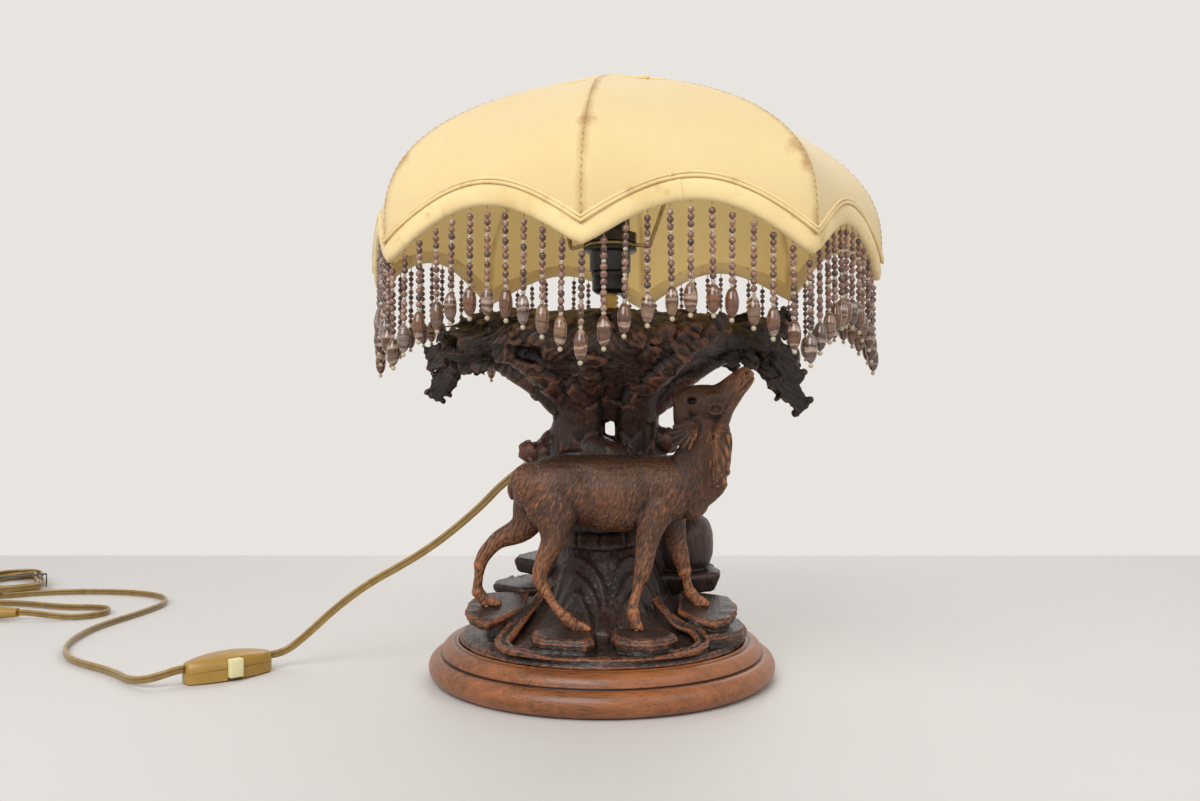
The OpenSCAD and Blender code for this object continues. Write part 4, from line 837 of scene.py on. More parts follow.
for name, node, side, root, leaves in (
        ("left_spray", "left_leaf_spray", -1, (-104, 0, 233), (
            ((-106, -4, 238), (-129, -7, 230), 15), ((-106, -7, 230), (-126, -10, 220), 11),
            ((-104, -5, 229), (-122, -9, 198), 17), ((-106, 0, 241), (-122, 2, 246), 14),
            ((-105, 8, 234), (-126, 14, 226), 15), ((-104, 8, 228), (-119, 15, 202), 15),
            ((-106, 10, 239), (-116, 17, 246), 13), ((-104, -9, 240), (-116, -17, 240), 14),
            ((-105, 0, 228), (-124, 4, 212), 14))),
        ("right_spray", "right_leaf_spray", 1, (112, 0, 240), (
            ((111, -5, 229), (147, -9, 191), 20), ((113, -6, 236), (145, -9, 212), 15),
            ((113, -4, 242), (141, -8, 226), 15), ((113, 0, 247), (139, 6, 262), 15),
            ((113, 8, 240), (145, 12, 218), 15), ((112, 8, 230), (137, 17, 201), 15),
            ((113, -9, 247), (134, -15, 248), 15), ((113, 11, 246), (130, 19, 250), 14),
            ((112, 2, 232), (141, 4, 205), 15)))):
    bm = bmesh.new()
    limb(bm, [(root[0] + side * out, 0, root[2] - drop, wide, deep) for out, drop, wide, deep in (
        (0.4, 0, 15, 8.5), (6, 1, 14, 8), (13, 4, 9, 6), (17, 6, 3, 2))], 16, 3)
    for start, tip, wide in leaves:
        oak_leaf(bm, start, tip, (0, -1 if tip[1] < 6 else 1, 0.4), wide, 0.1, 2.4)
        way = (Vector(tip) - Vector(start)).normalized()
        across = way.cross(Vector((0, 1, 0))).normalized()
        for share in (-0.36, -0.12, 0.12, 0.36):
            spot = Vector(tip) - way * (1.5 + 8 * share * share) + across * wide * share
            bmesh.ops.create_icosphere(bm, subdivisions=2, radius=wide * 0.14, matrix=Matrix.Translation(spot))
    carved("carved_" + name, bm, leaf_wood, leaf_tool, "leaf_wood", [node], voxel=0.9)

# Deer: carved in one piece from the same wood, standing on the stones with its head thrown up, four hooves
# doweled. The coat is cut in short strokes, the throat in long tufts, and the head has a drilled socket.
ear_x, ear_y, ear_z = 64, -60, 180.5
socket_x, socket_z, socket_r, socket_deep = 59.8, 197, 3.1, 5.5
nostril_x, nostril_z = 97.5, 216
deer_wood = stained("deer_wood", (0.041, 0.0185, 0.0105), (0.122, 0.051, 0.0245), (0.35, 0.130, 0.049),
                    wide=1.05, long=4.6, gloss=0.46, cut_depth=0.0007, show=0.62)


def coat_tool(p):
    """Hair in short strokes, tufts on the throat, swells of muscle, and the cuts of ear, mouth and socket."""
    x, y, z = p.T
    throat = fade(z, 132, 140) * fade(z, 180, 174) * fade(x, 68, 76)
    head = fade(z, 178, 186) * fade(x, 40, 46)
    flow = np.stack([x + (0.72 * throat - 0.4) * (z - 150) + grained(p, 16) * 2.5, y, z], axis=1)
    flow *= (1 - 0.6 * throat + 0.3 * head)[:, None]
    legs = fade(z, 104, 94)
    depth = grained(flow * (1, 1, 0.24), 1.9) * 0.22 * (1 - head) * (1 - 0.7 * legs) + grained(p, 9) * 0.3
    depth += (np.abs(grained(flow * (1, 1, 0.2), 1.7)) * 1.5 - 0.5) * throat
    near = fade(y, -42, -50)

    def swell(u, w, wide, tall, lift):
        return lift * np.exp(-((x - u) / wide) ** 2 - ((z - w) / tall) ** 2) * near

    depth += swell(-13, 145.5, 6.5, 6, -2.4) + swell(-9, 131, 4, 11, -1.2) + swell(27, 136, 4, 14, -1.2)
    depth += swell(8, 128, 13, 12, 0.9) + swell(-36, 136, 10, 14, 0.9) + swell(43, 140, 8, 10, 0.8)
    ear = fade(np.hypot(x - ear_x, z - ear_z), 22, 19) * fade(x, 63, 60) * fade(z, 180, 178) * (y < -58)
    depth += 0.6 * np.sin(27 * np.arctan2(ear_z - z, ear_x - x)) * ear
    hole = np.hypot(x - socket_x, z - socket_z)
    depth -= socket_deep * fade(hole, socket_r, socket_r - 0.8) * (y < -52)
    lips = np.abs(x - 88.5 - (z - 198.5)) * 0.707
    depth -= np.clip(1.1 - lips, 0, 1.1) * 0.8 * fade(x + z, 293, 296)
    depth -= 1.3 * np.exp(-(np.hypot(x - nostril_x, z - nostril_z) / 1.6) ** 2)
    warm = 0.42 + 0.4 * throat + 0.3 * legs + 0.35 * fade(x + z, 285, 297) - 0.22 * head * fade(x, 88, 80)
    warm -= 1.4 * np.exp(-(hole / 6) ** 4) * (y < -50) + swell(76, 191, 8, 7, 0.05)
    warm += swell(-38, 136, 14, 18, 0.4) + swell(6, 134, 15, 14, 0.4) + swell(44, 138, 9, 14, 0.35)
    # The top of the back is made less warm and so darker: a painted shadow under the crown.
    return depth, flow, warm - 0.4 * fade(z, 149, 157) * fade(x, 62, 54)


barrel = [
    (-63, -42, 143, 4, 4), (-58, -42, 142, 11, 12), (-47, -42, 138, 17, 19), (-30, -42, 137, 19, 22.5),
    (-8, -42, 134.5, 18.5, 25), (12, -42, 134, 18.5, 25.5), (32, -42, 136.5, 18, 23), (48, -42, 138.5, 17, 21),
    (62, -43, 139, 15, 19), (73, -44, 142, 12, 15), (82, -45, 147, 8, 9)]
neck = [
    (46, -43, 128, 10, 12), (57, -44, 134, 13, 18), (66, -45, 149, 14, 20), (71, -47, 162, 13, 18.4),
    (71, -49, 176, 12, 16.5), (66, -50, 188, 11, 15)]
skull = [
    (50, -50, 193, 6, 7), (57, -51, 195, 10, 10.5), (65, -52, 195.5, 12, 12), (73, -53, 195, 11.6, 12.6),
    (80, -54, 196, 10, 11.5)]
nape = [(56, -51, 195, 9, 7.5), (56, -51, 188, 9, 7.5), (57, -50, 181, 9, 8), (62, -49, 174, 9, 9)]
muzzle = [
    (75, -54, 194.5, 10, 12), (83, -55, 199.5, 8.6, 10.6), (90, -56, 206.5, 7.4, 8.8), (96, -56, 212.5, 6.6, 7.4),
    (99.5, -56, 216, 5.2, 5.8), (101, -56, 217.5, 2.6, 3)]
jaw = [(77, -53, 174, 8, 6), (80.5, -54, 181, 9, 5.6), (84.5, -54.5, 190, 8.5, 5), (89.5, -55, 198, 7, 4.4)]
ear_tips = (
    ((44.6, -65, 174.6), 2.4), ((46.6, -66.5, 170.6), 2.6), ((50, -67, 167.2), 2.7), ((53.4, -66.5, 165), 2.5),
    ((56.6, -65, 164.2), 2.1), ((47, -64, 179), 2.2), ((54, -63, 182.4), 2.2))
far_ear = [(64, -42, 186, 3, 3), (59, -39, 180, 3.5, 7), (54, -37, 173, 2.6, 6), (52, -36, 169, 1.2, 2)]
upper_lid = [
    (70, -63, 190.6, 1, 1), (73, -64.6, 193.9, 1.4, 1.3), (77.5, -64.8, 194.8, 1.4, 1.3),
    (81.5, -63.2, 192.6, 1, 1)]
lower_lid = [
    (70.4, -62.8, 189.8, 0.9, 0.9), (74.4, -64.2, 187.9, 1.1, 1), (78.8, -64, 188.3, 1.1, 1),
    (81.8, -62.8, 191, 0.9, 0.9)]
brow = [(66, -61, 196, 2, 3), (73, -62.6, 199, 2.6, 3.4), (81, -61.6, 198.6, 2.4, 3.2), (87, -60.5, 202, 1.6, 2)]
tail = [(-56, -42, 146, 4, 4), (-61.5, -42, 141, 3.4, 3), (-63.5, -42, 134, 2.4, 2.2), (-62, -42, 128, 1, 1)]

bm = bmesh.new()
for stations, sides, ease in (
        (barrel, 28, 4), (neck, 24, 4), (skull, 24, 3), (nape, 18, 3), (muzzle, 22, 3), (jaw, 16, 3)):
    limb(bm, stations, sides, ease)
for tip, thick in ear_tips:
    start, end = Vector((ear_x, ear_y, ear_z)), Vector(tip)
    bent = start.lerp(end, 0.55) + Vector((0, -2.4, 0))
    limb(bm, [(*start, 1.6, 1.8), (*bent, 2.6, thick + 0.6), (*end, 1.3, 1.7)], 10, 2.5)
for stations, sides, ease in (
        (far_ear, 12, 3), (upper_lid, 8, 2), (lower_lid, 8, 2), (brow, 10, 3), (tail, 12, 3)):
    limb(bm, stations, sides, ease)
for leg, heel, toe in (
        ([(-38, -42, 142, 8, 12), (-34, -50, 130, 12, 19), (-32, -54, 117, 9.5, 15), (-33, -57, 102, 7, 9),
          (-40, -60, 87, 4.8, 6), (-42, -61, 78, 4.4, 5.4), (-36, -63, 66, 2.9, 3.2), (-26, -66, 53.5, 3.2, 3.6),
          (-20, -67.4, 49, 3.9, 4.2)], (-15.5, -68, 45), (-7.5, -69, 45)),
        ([(-42, -40, 138, 8, 12), (-46, -35, 128, 9.5, 15), (-56, -32, 108, 7, 10), (-75, -31, 97.5, 5, 6),
          (-84, -31, 86, 4, 4.8), (-86.5, -31, 73, 2.9, 3.2), (-87, -31, 65, 3.2, 3.6), (-84, -31, 59.5, 3.9, 4.2)],
         (-81, -31, 55), (-71, -31, 55)),
        ([(42, -42, 142, 7, 9), (39, -49, 127, 11.5, 14.5), (33.5, -54, 113, 8.5, 10.5), (30, -57, 98, 6, 7.4),
          (27.5, -60, 83, 4.9, 6), (23, -63, 68, 2.9, 3.2), (20.8, -66, 57, 3.2, 3.6), (21.6, -67.4, 51, 3.9, 4.2)],
         (23, -68, 45.4), (27, -69, 45)),
        ([(50, -42, 134, 7, 9), (48, -36, 122, 8.5, 12), (51, -33, 105, 6, 7.5), (56, -32, 84, 4.7, 5.6),
          (59.5, -32, 70, 2.9, 3.2), (61.5, -32, 63.5, 3.4, 3.9), (64.4, -32, 59.5, 3.9, 4.2)],
         (68, -32, 55), (75, -32, 54.6))):
    limb(bm, leg, 18, 3)
    ankle = Vector(leg[-1][:3])
    limb(bm, [(*ankle, 3.7, 4), (*heel, 3.6, 3.8)], 14)
    for apart in (-2, 2):
        sole = Vector(toe) + Vector((0, apart, 0))
        instep = Vector(heel).lerp(sole, 0.4) + Vector((0, apart * 0.5, 1.4))
        limb(bm, [(*ankle, 2.6, 3.2), (*instep, 2.1, 3), (*sole, 1.3, 1.2)], 10, 2)
for spot, size in (
        ((-36, -52, 128), (17, 8, 20)), ((46, -52, 132), (15, 8, 17)), ((76, -60.2, 191.4), (3.6, 4, 3.2)),
        ((10, -48, 124), (26, 11, 17)), ((79, -46, 156), (9.5, 9, 19)), ((60, -45, 128), (14, 10, 13)),
        ((55, -64, 174), (7, 2.2, 7)), ((-43, -61, 79), (4.4, 4.2, 6.4)), ((27, -60.4, 80), (5.2, 4.8, 6.6)),
        ((-85.6, -31, 82), (4.4, 4, 6.2)), ((57.6, -32, 78), (5, 4.6, 6.2)), ((-23.4, -66.6, 52), (4.4, 4.2, 4.2)),
        ((-87, -31, 63), (4.4, 4.2, 4.4)), ((20.8, -66.6, 55.5), (4.4, 4.2, 4.4)),
        ((62.4, -32, 62.4), (4.4, 4.2, 4.4))):
    bmesh.ops.create_uvsphere(bm, u_segments=20, v_segments=12, radius=1,
                              matrix=Matrix.Translation(spot) @ Matrix.Diagonal((*size, 1)))
carved("carved_deer", bm, deer_wood, coat_tool, "deer_wood", ["deer"], voxel=0.9, ease=3)

# Lamp holder: black moulded cap and sleeve on the brass pipe, with a shoulder for the shade's wire ring,
# a threaded upper part and a knurled clamp ring that screws down on the wire.
cap_z = 275.5
sleeve_z = 291.5
shoulder_z = 309.5
thread_z, thread_pitch, thread_turns = 18.4, 1.5, 15

black_moulding, shader, at = finish("black_moulding", Coat_Weight=0.15)
at.noise(90, 4).over(0.3, 0.7).mix((0.010, 0.010, 0.011), (0.022, 0.021, 0.020)).feed(shader, "Base Color")
(at.noise(160, 4) * 0.3 + 0.25).feed(shader, "Roughness")
at.noise(900).bump(shader, 0.0002, 0.3)

cap = [(5.2, 0), (9.6, 0), (10.4, 0.3), (12.9, 2.4), (13.2, 3.2), (13.2, 12.2), (13.7, 12.6), (13.7, 15.6),
       (13.3, 16), (11.3, 16), (11.3, 5.4), (5.2, 5.4), (5.2, 0)]
bm = bmesh.new()
turned(bm, [(r, cap_z + z) for r, z in cap], pipe_x)
piece("holder_cap_moulding", bm, black_moulding, slot="black_moulding", stands_for=["holder_cap"])

sleeve = [(10.8, 0.05), (14.6, 0.05), (15, 0.5), (15, 13.6), (15.4, 14.3), (19, 14.8), (19.5, 15.3), (19.5, 17.5),
          (19, 18), (14.6, 18)]
for turn in range(thread_turns):
    z = thread_z + thread_pitch * turn
    sleeve += [(14.5, z), (14.5, z + 0.4), (13.8, z + 0.8), (13.8, z + 1.2)]
sleeve += [(14.2, 41.4), (13.9, 42), (12.7, 42), (12.5, 41.6), (12.5, 1.5), (10.8, 1.5), (10.8, 0.05)]
bm = bmesh.new()
turned(bm, [(r, sleeve_z + z) for r, z in sleeve], pipe_x)
piece("holder_sleeve_moulding", bm, black_moulding, slot="black_moulding", stands_for=["holder_sleeve"])

# Brass pipe through the tree with its washer and nut, the holder's brass shell, contacts and screws,
# and the bulb's cap. Turned brass, a little tarnished, with fine turning lines.
brass, shader, at = finish("brass", Metallic=1.0)
tarnish = at.noise(120, 4)
tarnish.over(0.35, 0.7).mix((0.62, 0.43, 0.13), (0.36, 0.22, 0.06)).feed(shader, "Base Color")
(tarnish * 0.35 + 0.16).feed(shader, "Roughness")
at.noise(700, 2, stretch=(0.1, 0.1, 1)).bump(shader, 0.0002, 0.4)
dress(brass, "threaded_pipe", "pipe_washer", "pipe_nut", "screw_shell", "centre_contact", "terminal_screws",
      "bulb_cap", "switch_contacts", "plug_pins")

# Small fittings left as their solids: zinc-plated screws and the bulb's stud, ceramic insert, beech dowels,
# the brown bush where the flex leaves the tree, the knurled clamp ring and the flex inside the tree.
zinc, shader, at = finish("zinc", Metallic=1.0)
at.noise(300).mix((0.42, 0.43, 0.45), (0.62, 0.62, 0.63)).feed(shader, "Base Color")
(at.noise(500) * 0.3 + 0.2).feed(shader, "Roughness")
ceramic = speckled("ceramic", 200, (0.80, 0.77, 0.70), (0.86, 0.84, 0.78), Roughness=0.35)
beech = speckled("beech", 60, (0.42, 0.26, 0.12), (0.60, 0.42, 0.22), detail=4, stretch=(12, 12, 1), Roughness=0.6)
brown_bush = speckled("brown_bush", 250, (0.05, 0.026, 0.013), (0.085, 0.045, 0.022), Roughness=0.5)
dress(zinc, "base_screws", "bulb_contact", "switch_screw")
dress(ceramic, "holder_insert")
dress(beech, "trunk_dowels", "crown_dowels", "leaf_pegs", "hoof_dowels")
dress(brown_bush, "cord_bush")
dress(black_moulding, "clamp_ring")
dress(gold_flex, "inner_flex")

# Bulb: a frosted ball glass on its screw cap, seen through the shade's top opening. Blown glass, etched
# inside, and cemented into the brass cap that turns in the holder's shell.
frosted = speckled("frosted_glass", 150, (0.82, 0.82, 0.79), (0.90, 0.90, 0.87), Roughness=0.45,
                   Transmission_Weight=0.5, IOR=1.45)
dress(frosted, "bulb_glass")

# Shade frame: lacquered steel wire, eight ribs between a top ring and a scalloped rim wire, and a fitter
# ring with two drop wires that sits on the holder's shoulder under the clamp ring.
shade_x = 13
shade_turn = -7.7
panel_count = 8
panel_share = 0.765
rise = 106
band_h = 12.4
rim_low, scallop = -27, 28
wide_r, wide_h = 185, -4
drawn_in, drawn_over = 126, 110
tucked_in, tucked_over = 4, 23
wire_d = 3
fitter_r = 16.6


def rib_dir(k):
    """The way out from the shade's axis to rib k."""
    f = math.radians(360 / panel_count * k + shade_turn)
    return Vector((math.sin(f), -math.cos(f), 0))


def rib_radius(h):
    """A rib's distance from the shade's axis: drawn in to the top ring, and tucked in below the widest."""
    up = h - wide_h
    return wide_r - (drawn_in * (up / drawn_over) ** 2.45 if up > 0 else tucked_in * (-up / tucked_over) ** 2)


def shade_point(k, a, h, out=0.0):
    """A point of panel k at share a of its width and height h over the shoulder, set out from the wires."""
    way = Vector((1, rib_radius(h - 0.5) - rib_radius(h + 0.5))).normalized()
    flat = rib_dir(k).lerp(rib_dir(k + 1), a) * (rib_radius(h) + way.x * out)
    return Vector((flat.x + shade_x, flat.y, shoulder_z + h + way.y * out))


def rim_h(a):
    """Height of the scalloped rim over the shoulder, at share a of a panel's width."""
    return rim_low + scallop * math.sin(math.pi * a)


lacquered_wire, shader, at = finish("lacquered_wire", Metallic=0.6)
rust = at.noise(140, 5).over(0.5, 0.75)
rust.mix((0.50, 0.40, 0.20), (0.22, 0.12, 0.05)).feed(shader, "Base Color")
(rust * 0.3 + 0.3).feed(shader, "Roughness")
dress(lacquered_wire, "shade_top_ring", "shade_ribs", "shade_rim_wire")

middle = Vector((pipe_x, 0, shoulder_z + 1.6))
wire = round_section(wire_d, wire_d, 12)
loop = [middle + Vector((math.cos(f), math.sin(f), 0)) * fitter_r for f in np.linspace(0, 2 * math.pi, 65)[:-1]]
bm = bmesh.new()
sweep(bm, spots_on(loop, closed=True), wire, closed=True)
for k in (2, 6):
    out = rib_dir(k)
    root, clear, knee = (middle + out * reach for reach in (fitter_r, 22.5, 29))
    top = shade_point(k, 0, rise)
    knee.z -= 1
    run = smooth_run([root, clear, knee, knee.lerp(top, 0.03), knee.lerp(top, 0.08), top], 1.5)
    sweep(bm, spots_on(run, up=(-out.y, out.x, 0)), wire)
piece("fitter_wire", bm, lacquered_wire, slot="frame_wire", body="shade", stands_for=["shade_fitter"])


# Shade cover and lining: cream silk cut in eight panels, stretched over the ribs and oversewn along each,
# browned along the seams by soiling and painted shade, and a thinner lining behind the ribs that glows a
# little as painted daylight through the silk.
def silk(name, pale, deep, scorched, painted_daylight_glow=0.0):
    """Woven silk: pale warp and weft, seams browned by soiling and painted shade, scorch marks at these spots."""
    made, shader, at = finish(name, Roughness=0.85, Sheen_Weight=0.25, Emission_Strength=painted_daylight_glow)
    thread = at.mark("thread", "Vector")
    weave = thread.noise(1.2, 2, stretch=(0.25, 6, 1)) + thread.noise(1.2, 2, stretch=(6, 0.25, 1))
    tone = at.noise(14, 4).over(0.3, 0.75).mix(pale, deep)
    tone = (weave * 0.5).over(0.42, 0.72).mix(tone, tuple(0.93 * c for c in deep))
    # Brown band along each seam: partly soiling, partly painted shade of the fold over the rib.
    tone = (at.mark("seam") * at.noise(45, 5)).over(0.20, 0.72).mix(tone, (0.44, 0.27, 0.09))
    for spot, reach in scorched:
        gap = at.node("ShaderNodeVectorMath", {0: at, 1: tuple(s / 1000 for s in spot)}, out="Value",
                      operation="DISTANCE")
        burn = 1 - (gap * (1000 / reach) + at.noise(160, 5) * 1.6).over(0.75, 1.75)
        tone = (burn * 0.85).mix(tone, (0.40, 0.20, 0.06))
    tone.feed(shader, "Base Color")
    # Emission in the silk's own colour: a painted glow standing for daylight through the silk.
    tone.feed(shader, "Emission Color")
    weave.bump(shader, 0.0003, 0.25)
    return made


cream_silk = silk("cream_silk", (0.76, 0.60, 0.315), (0.71, 0.54, 0.26), (
    ((-9, -165, 356), 9), ((117, -140, 347), 9), ((121, -143, 335), 7), ((-126, -106, 348), 8),
    ((-136, -110, 322), 4)))
# The lining glows a little: painted daylight through the silk.
lining_silk = silk("lining_silk", (0.88, 0.69, 0.31), (0.82, 0.62, 0.26), (), 0.12)


def drift(k, h):
    """How far to the left of its rib the front seam is sewn at this height."""
    return 7 * max(0, h / rise) ** 4 * min(1, max(0, rise - h) / 16) if k == 0 else 0.0


def panels(name, made, out, sag, top, slot, node):
    """Eight stretched panels, set out from the wires, sagging between them, from height top to the rim roll."""
    bm = bmesh.new()
    thread = bm.verts.layers.float_vector.new("thread")
    seam = bm.verts.layers.float.new("seam")
    for k in range(panel_count):
        for v in bmesh.ops.create_grid(bm, x_segments=24, y_segments=36, size=0.5)["verts"]:
            a, t = v.co.x + 0.5, (v.co.y + 0.5) ** 1.4
            h = top + (rim_h(a) + band_h * 0.62 - top) * t
            wide = rib_radius(h) * panel_share
            near = min(a, 1 - a) * wide
            hollow = sag * math.sin(math.pi * a) * math.sin(math.pi * min(1, 0.12 + t * 0.95))
            sewn_in = 0.5 * math.exp(-near ** 2 / 2)
            dip = 0.8 * math.sin(math.pi * a) * max(0, 1 - t * 2.5) ** 2
            v.co = shade_point(k, a, h - dip, out - (hollow + sewn_in))
            v.co.x -= drift(k + round(a), h) * math.exp(-(near / 15) ** 2)
            v[thread] = ((a - 0.5) * wide, (1 - t) * 170, 7.0 * k)
            v[seam] = math.exp(-(near / 4.6) ** 2)
    bmesh.ops.remove_doubles(bm, verts=bm.verts, dist=0.05)
    area = sum(f.calc_area() for f in bm.faces) / 1e6
    cloth = piece(name, bm, made, slot=slot, body="shade", stands_for=[node])
    thick = cloth.modifiers.new("cloth_thickness", "SOLIDIFY")
    thick.thickness = 0.0009
    thick.offset = 0


panels("silk_cover", cream_silk, 2.3, 3.6, rise, "cream_cloth", "shade_cover")
panels("silk_lining", lining_silk, -2.3, 2.6, rise - 7, "lining_cloth", "shade_lining")

# Oversewn seams: linen thread in slanting stitches along each rib, drawn tight into the silk where two
# panels meet over the wire.
stitches = 36
stitch_out = 2.2
linen = speckled("linen_thread", 300, (0.27, 0.17, 0.07), (0.52, 0.38, 0.18), Roughness=0.8)
bm = bmesh.new()
for k in range(panel_count):
    for i in range(stitches):
        h = rise - 3 + (rim_h(0) + band_h + 4 - rise) * (i / (stitches - 1)) ** 1.3
        here, further = shade_point(k, 0, h, stitch_out), shade_point(k, 0, h - 0.5, stitch_out)
        spot = Matrix.Translation((-drift(k, h), 0, 0)) @ spots_on([here, further], up=rib_dir(k))[0]
        lean = Matrix.Rotation(0.5 if i % 2 else -0.3, 4, "Y") @ Matrix.Diagonal((0.45, 0.35, 1.9, 1))
        bmesh.ops.create_icosphere(bm, subdivisions=1, radius=0.8, matrix=spot @ lean)
piece("seam_stitches", bm, linen, slot="cream_cloth", body="shade")


# Rim band: a soft roll of wadding in cream silk sewn over the scalloped rim wire, with its one joint
# beside the middle of a scallop, and a pair of piping cords laid along its upper edge.
def rim_run(lift, out, steps=28):
    """Points right round the shade, lifted from the rim wire and set out from the ribs."""
    return [shade_point(k, i / steps, rim_h(i / steps) + lift, out)
            for k in range(panel_count) for i in range(steps)]


roll_silk, shader, at = finish("roll_silk", Roughness=0.85, Sheen_Weight=0.25)
rub = at.noise(30, 5).over(0.45, 0.75)
tone = rub.mix((0.81, 0.63, 0.315), (0.69, 0.505, 0.22))
(at.noise(110, 4).over(0.58, 0.74) * 0.6).mix(tone, (0.48, 0.32, 0.13)).feed(shader, "Base Color")
(at.noise(60, 3) + at.noise(900, 2) * 0.2).bump(shader, 0.0012, 0.35)
bm = bmesh.new()
roll_half, roll_tall = 3.5, 6.4
roll = []
for x, y in round_section(2, 2, 16):
    roll.append((math.copysign(abs(x) ** 0.8, x) * roll_half, math.copysign(abs(y) ** 0.8, y) * roll_tall))
sweep(bm, spots_on(rim_run(band_h / 2, 0.4), closed=True), roll, closed=True)
for v in bm.verts:
    v.co += Vector((math.sin(v.co.z * 0.9 + v.co.x * 0.35), math.sin(v.co.y * 0.4 + v.co.z), 0)) * 0.12
rim_roll = piece("rim_roll", bm, roll_silk, slot="cream_cloth", body="shade", stands_for=["shade_rim_band"])

bm = bmesh.new()
for lift, out in ((band_h + 0.5, 3.7), (band_h + 2.7, 3.4)):
    sweep(bm, spots_on(rim_run(lift, out), closed=True), round_section(1.9, 2.1, 8), closed=True)
piece("rim_piping", bm, roll_silk, slot="cream_cloth", body="shade", stands_for=["shade_piping"])

bm = bmesh.new()
edge = [shade_point(k, i / 10, rise + 1.2, 1.0) for k in range(panel_count) for i in range(10)]
sweep(bm, spots_on(edge, closed=True), round_section(5.5, 3.2, 10), closed=True)
piece("top_binding", bm, roll_silk, slot="cream_cloth", body="shade", stands_for=["shade_top_binding"])

# Small marks of the sewing: a knot on the top binding, a knot on the piping, and the lap of the roll's one
# joint, where the silk goes over itself beside the middle of the front scallop.
bm = bmesh.new()
for spot, size in (
        (Vector((29, -52, shoulder_z + rise + 2.5)), 1.5),
        (shade_point(0, 0.36, rim_h(0.36) + band_h + 2.8, 4.4), 1.2)):
    for turn in range(5):
        aside = Vector((math.cos(turn * 2.4), 0.4 * math.sin(turn * 1.7), 0.6 * math.sin(turn * 2.4))) * size
        bmesh.ops.create_icosphere(bm, subdivisions=2, radius=size * (1.1 - 0.1 * turn),
                                   matrix=Matrix.Translation(spot + aside))
lap = [shade_point(0, a, rim_h(a) + band_h / 2, 0.4) for a in np.linspace(0.39, 0.41, 5)]
sweep(bm, [spot @ Matrix.Diagonal((1.07, 1.05, 1, 1)) for spot in spots_on(lap)], roll)
piece("sewing_marks", bm, roll_silk, slot="cream_cloth", body="shade")

# Bead fringe: eleven strings from each scallop, each with three groups of three round stone beads parted by
# clear spacers, then a long banded olive and a small pale tip bead. Polished agate on a thin cord.
stone, shader, at = finish("mottled_stone", Roughness=0.22, Coat_Weight=0.4, Coat_Roughness=0.1)
mottle = at.noise(420, 4)
shade_of = at.mark("stone") * 0.5 + mottle * 1.3 - 0.42
shade_of.node("ShaderNodeValToRGB", {0: shade_of}, stops=(
    (0.0, (0.020, 0.011, 0.010)), (0.3, (0.085, 0.042, 0.033)), (0.5, (0.18, 0.082, 0.058)),
    (0.72, (0.29, 0.155, 0.11)), (1.0, (0.47, 0.33, 0.26)))).feed(shader, "Base Color")
mottle.bump(shader, 0.0002, 0.3)

agate, shader, at = finish("banded_agate", Roughness=0.12, Coat_Weight=0.6, Coat_Roughness=0.05,
                           Transmission_Weight=0.25)
one_stone = at.mark("stone")
band = at.node("ShaderNodeSeparateXYZ", {0: at}, out="Z") * 330 + at.noise(130, 3) * 2.2 + one_stone * 5
ring = band.node("ShaderNodeTexNoise", {"W": band, "Scale": 0.9, "Detail": 3.0}, noise_dimensions="1D")
ground = one_stone.node("ShaderNodeValToRGB", {0: one_stone}, stops=(
    (0.0, (0.14, 0.055, 0.026)), (0.35, (0.27, 0.105, 0.038)), (0.6, (0.14, 0.10, 0.095)),
    (0.8, (0.36, 0.19, 0.08)), (1.0, (0.27, 0.215, 0.20))))
tone = ring.over(0.36, 0.56).mix((0.10, 0.045, 0.028), ground)
(ring.over(0.62, 0.70) * 0.75).mix(tone, (0.55, 0.42, 0.34)).feed(shader, "Base Color")

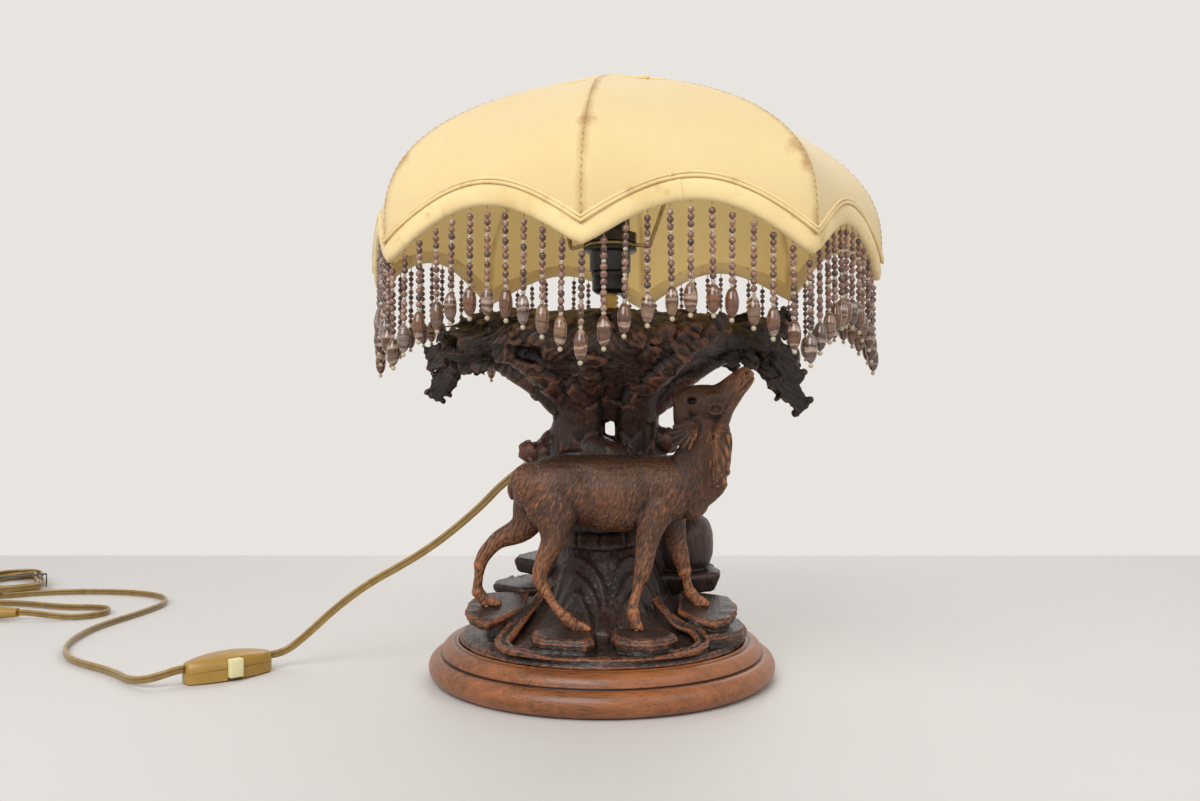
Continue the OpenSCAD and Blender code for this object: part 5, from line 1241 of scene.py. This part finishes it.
clear_glass = speckled("clear_glass", 500, (0.80, 0.74, 0.62), (0.92, 0.88, 0.80), Roughness=0.08,
                       Transmission_Weight=0.7, IOR=1.5)
tip_glass = speckled("tip_glass", 500, (0.50, 0.40, 0.26), (0.68, 0.58, 0.42), Roughness=0.25,
                     Transmission_Weight=0.25)

strings = 11
bead_d, spacer_d, olive_d, olive_h, tip_d = 4.2, 2.9, 8.2, 17.6, 3.1
stone_at, agate_at, clear_at, tip_at, linen_at = range(5)
chance = random.Random(8)
for k in range(panel_count):
    bm = bmesh.new()
    tint = bm.verts.layers.float.new("stone")

    def bead(spot, wide, tall, index, sides=10, bands=6):
        shape = Matrix.Translation(spot) @ Matrix.Diagonal((wide / 2, wide / 2, tall / 2, 1))
        verts = bmesh.ops.create_uvsphere(bm, u_segments=sides, v_segments=bands, radius=1, matrix=shape)["verts"]
        stone_tint = chance.random()
        for v in verts:
            v[tint] = stone_tint
            for f in v.link_faces:
                f.material_index = index

    for i in range(strings):
        spot = shade_point(k, i / strings, rim_h(i / strings))
        spot += Vector((chance.uniform(-0.3, 0.3), chance.uniform(-0.3, 0.3), 0))
        swing = Vector((chance.uniform(-0.02, 0.02), chance.uniform(-0.02, 0.02), -1))
        string = bmesh.ops.create_cone(bm, cap_ends=True, segments=6, radius1=0.4, radius2=0.4, depth=62,
                                       matrix=Matrix.Translation(spot + Vector((0, 0, -30))))
        for f in {f for v in string["verts"] for f in v.link_faces}:
            f.material_index = linen_at
        down = 3.3
        for _ in range(3):
            for _ in range(3):
                size = bead_d * chance.uniform(0.92, 1.04)
                bead(spot + swing * (down + bead_d / 2), size, bead_d + 0.05, stone_at)
                down += bead_d
            bead(spot + swing * (down + 1), spacer_d, 2.6, clear_at, 8, 4)
            down += 2
        bead(spot + swing * (down + 8.75), olive_d * chance.uniform(0.94, 1.03), olive_h, agate_at, 14, 10)
        bead(spot + swing * (down + 18.9), tip_d, tip_d, tip_at, 8, 5)
    piece(f"bead_strings_{k + 1}", bm, stone, agate, clear_glass, tip_glass, linen, slot="beads", body="shade",
          stands_for=[f"bead_fringe_{k + 1}"])


bpy.context.view_layer.update()
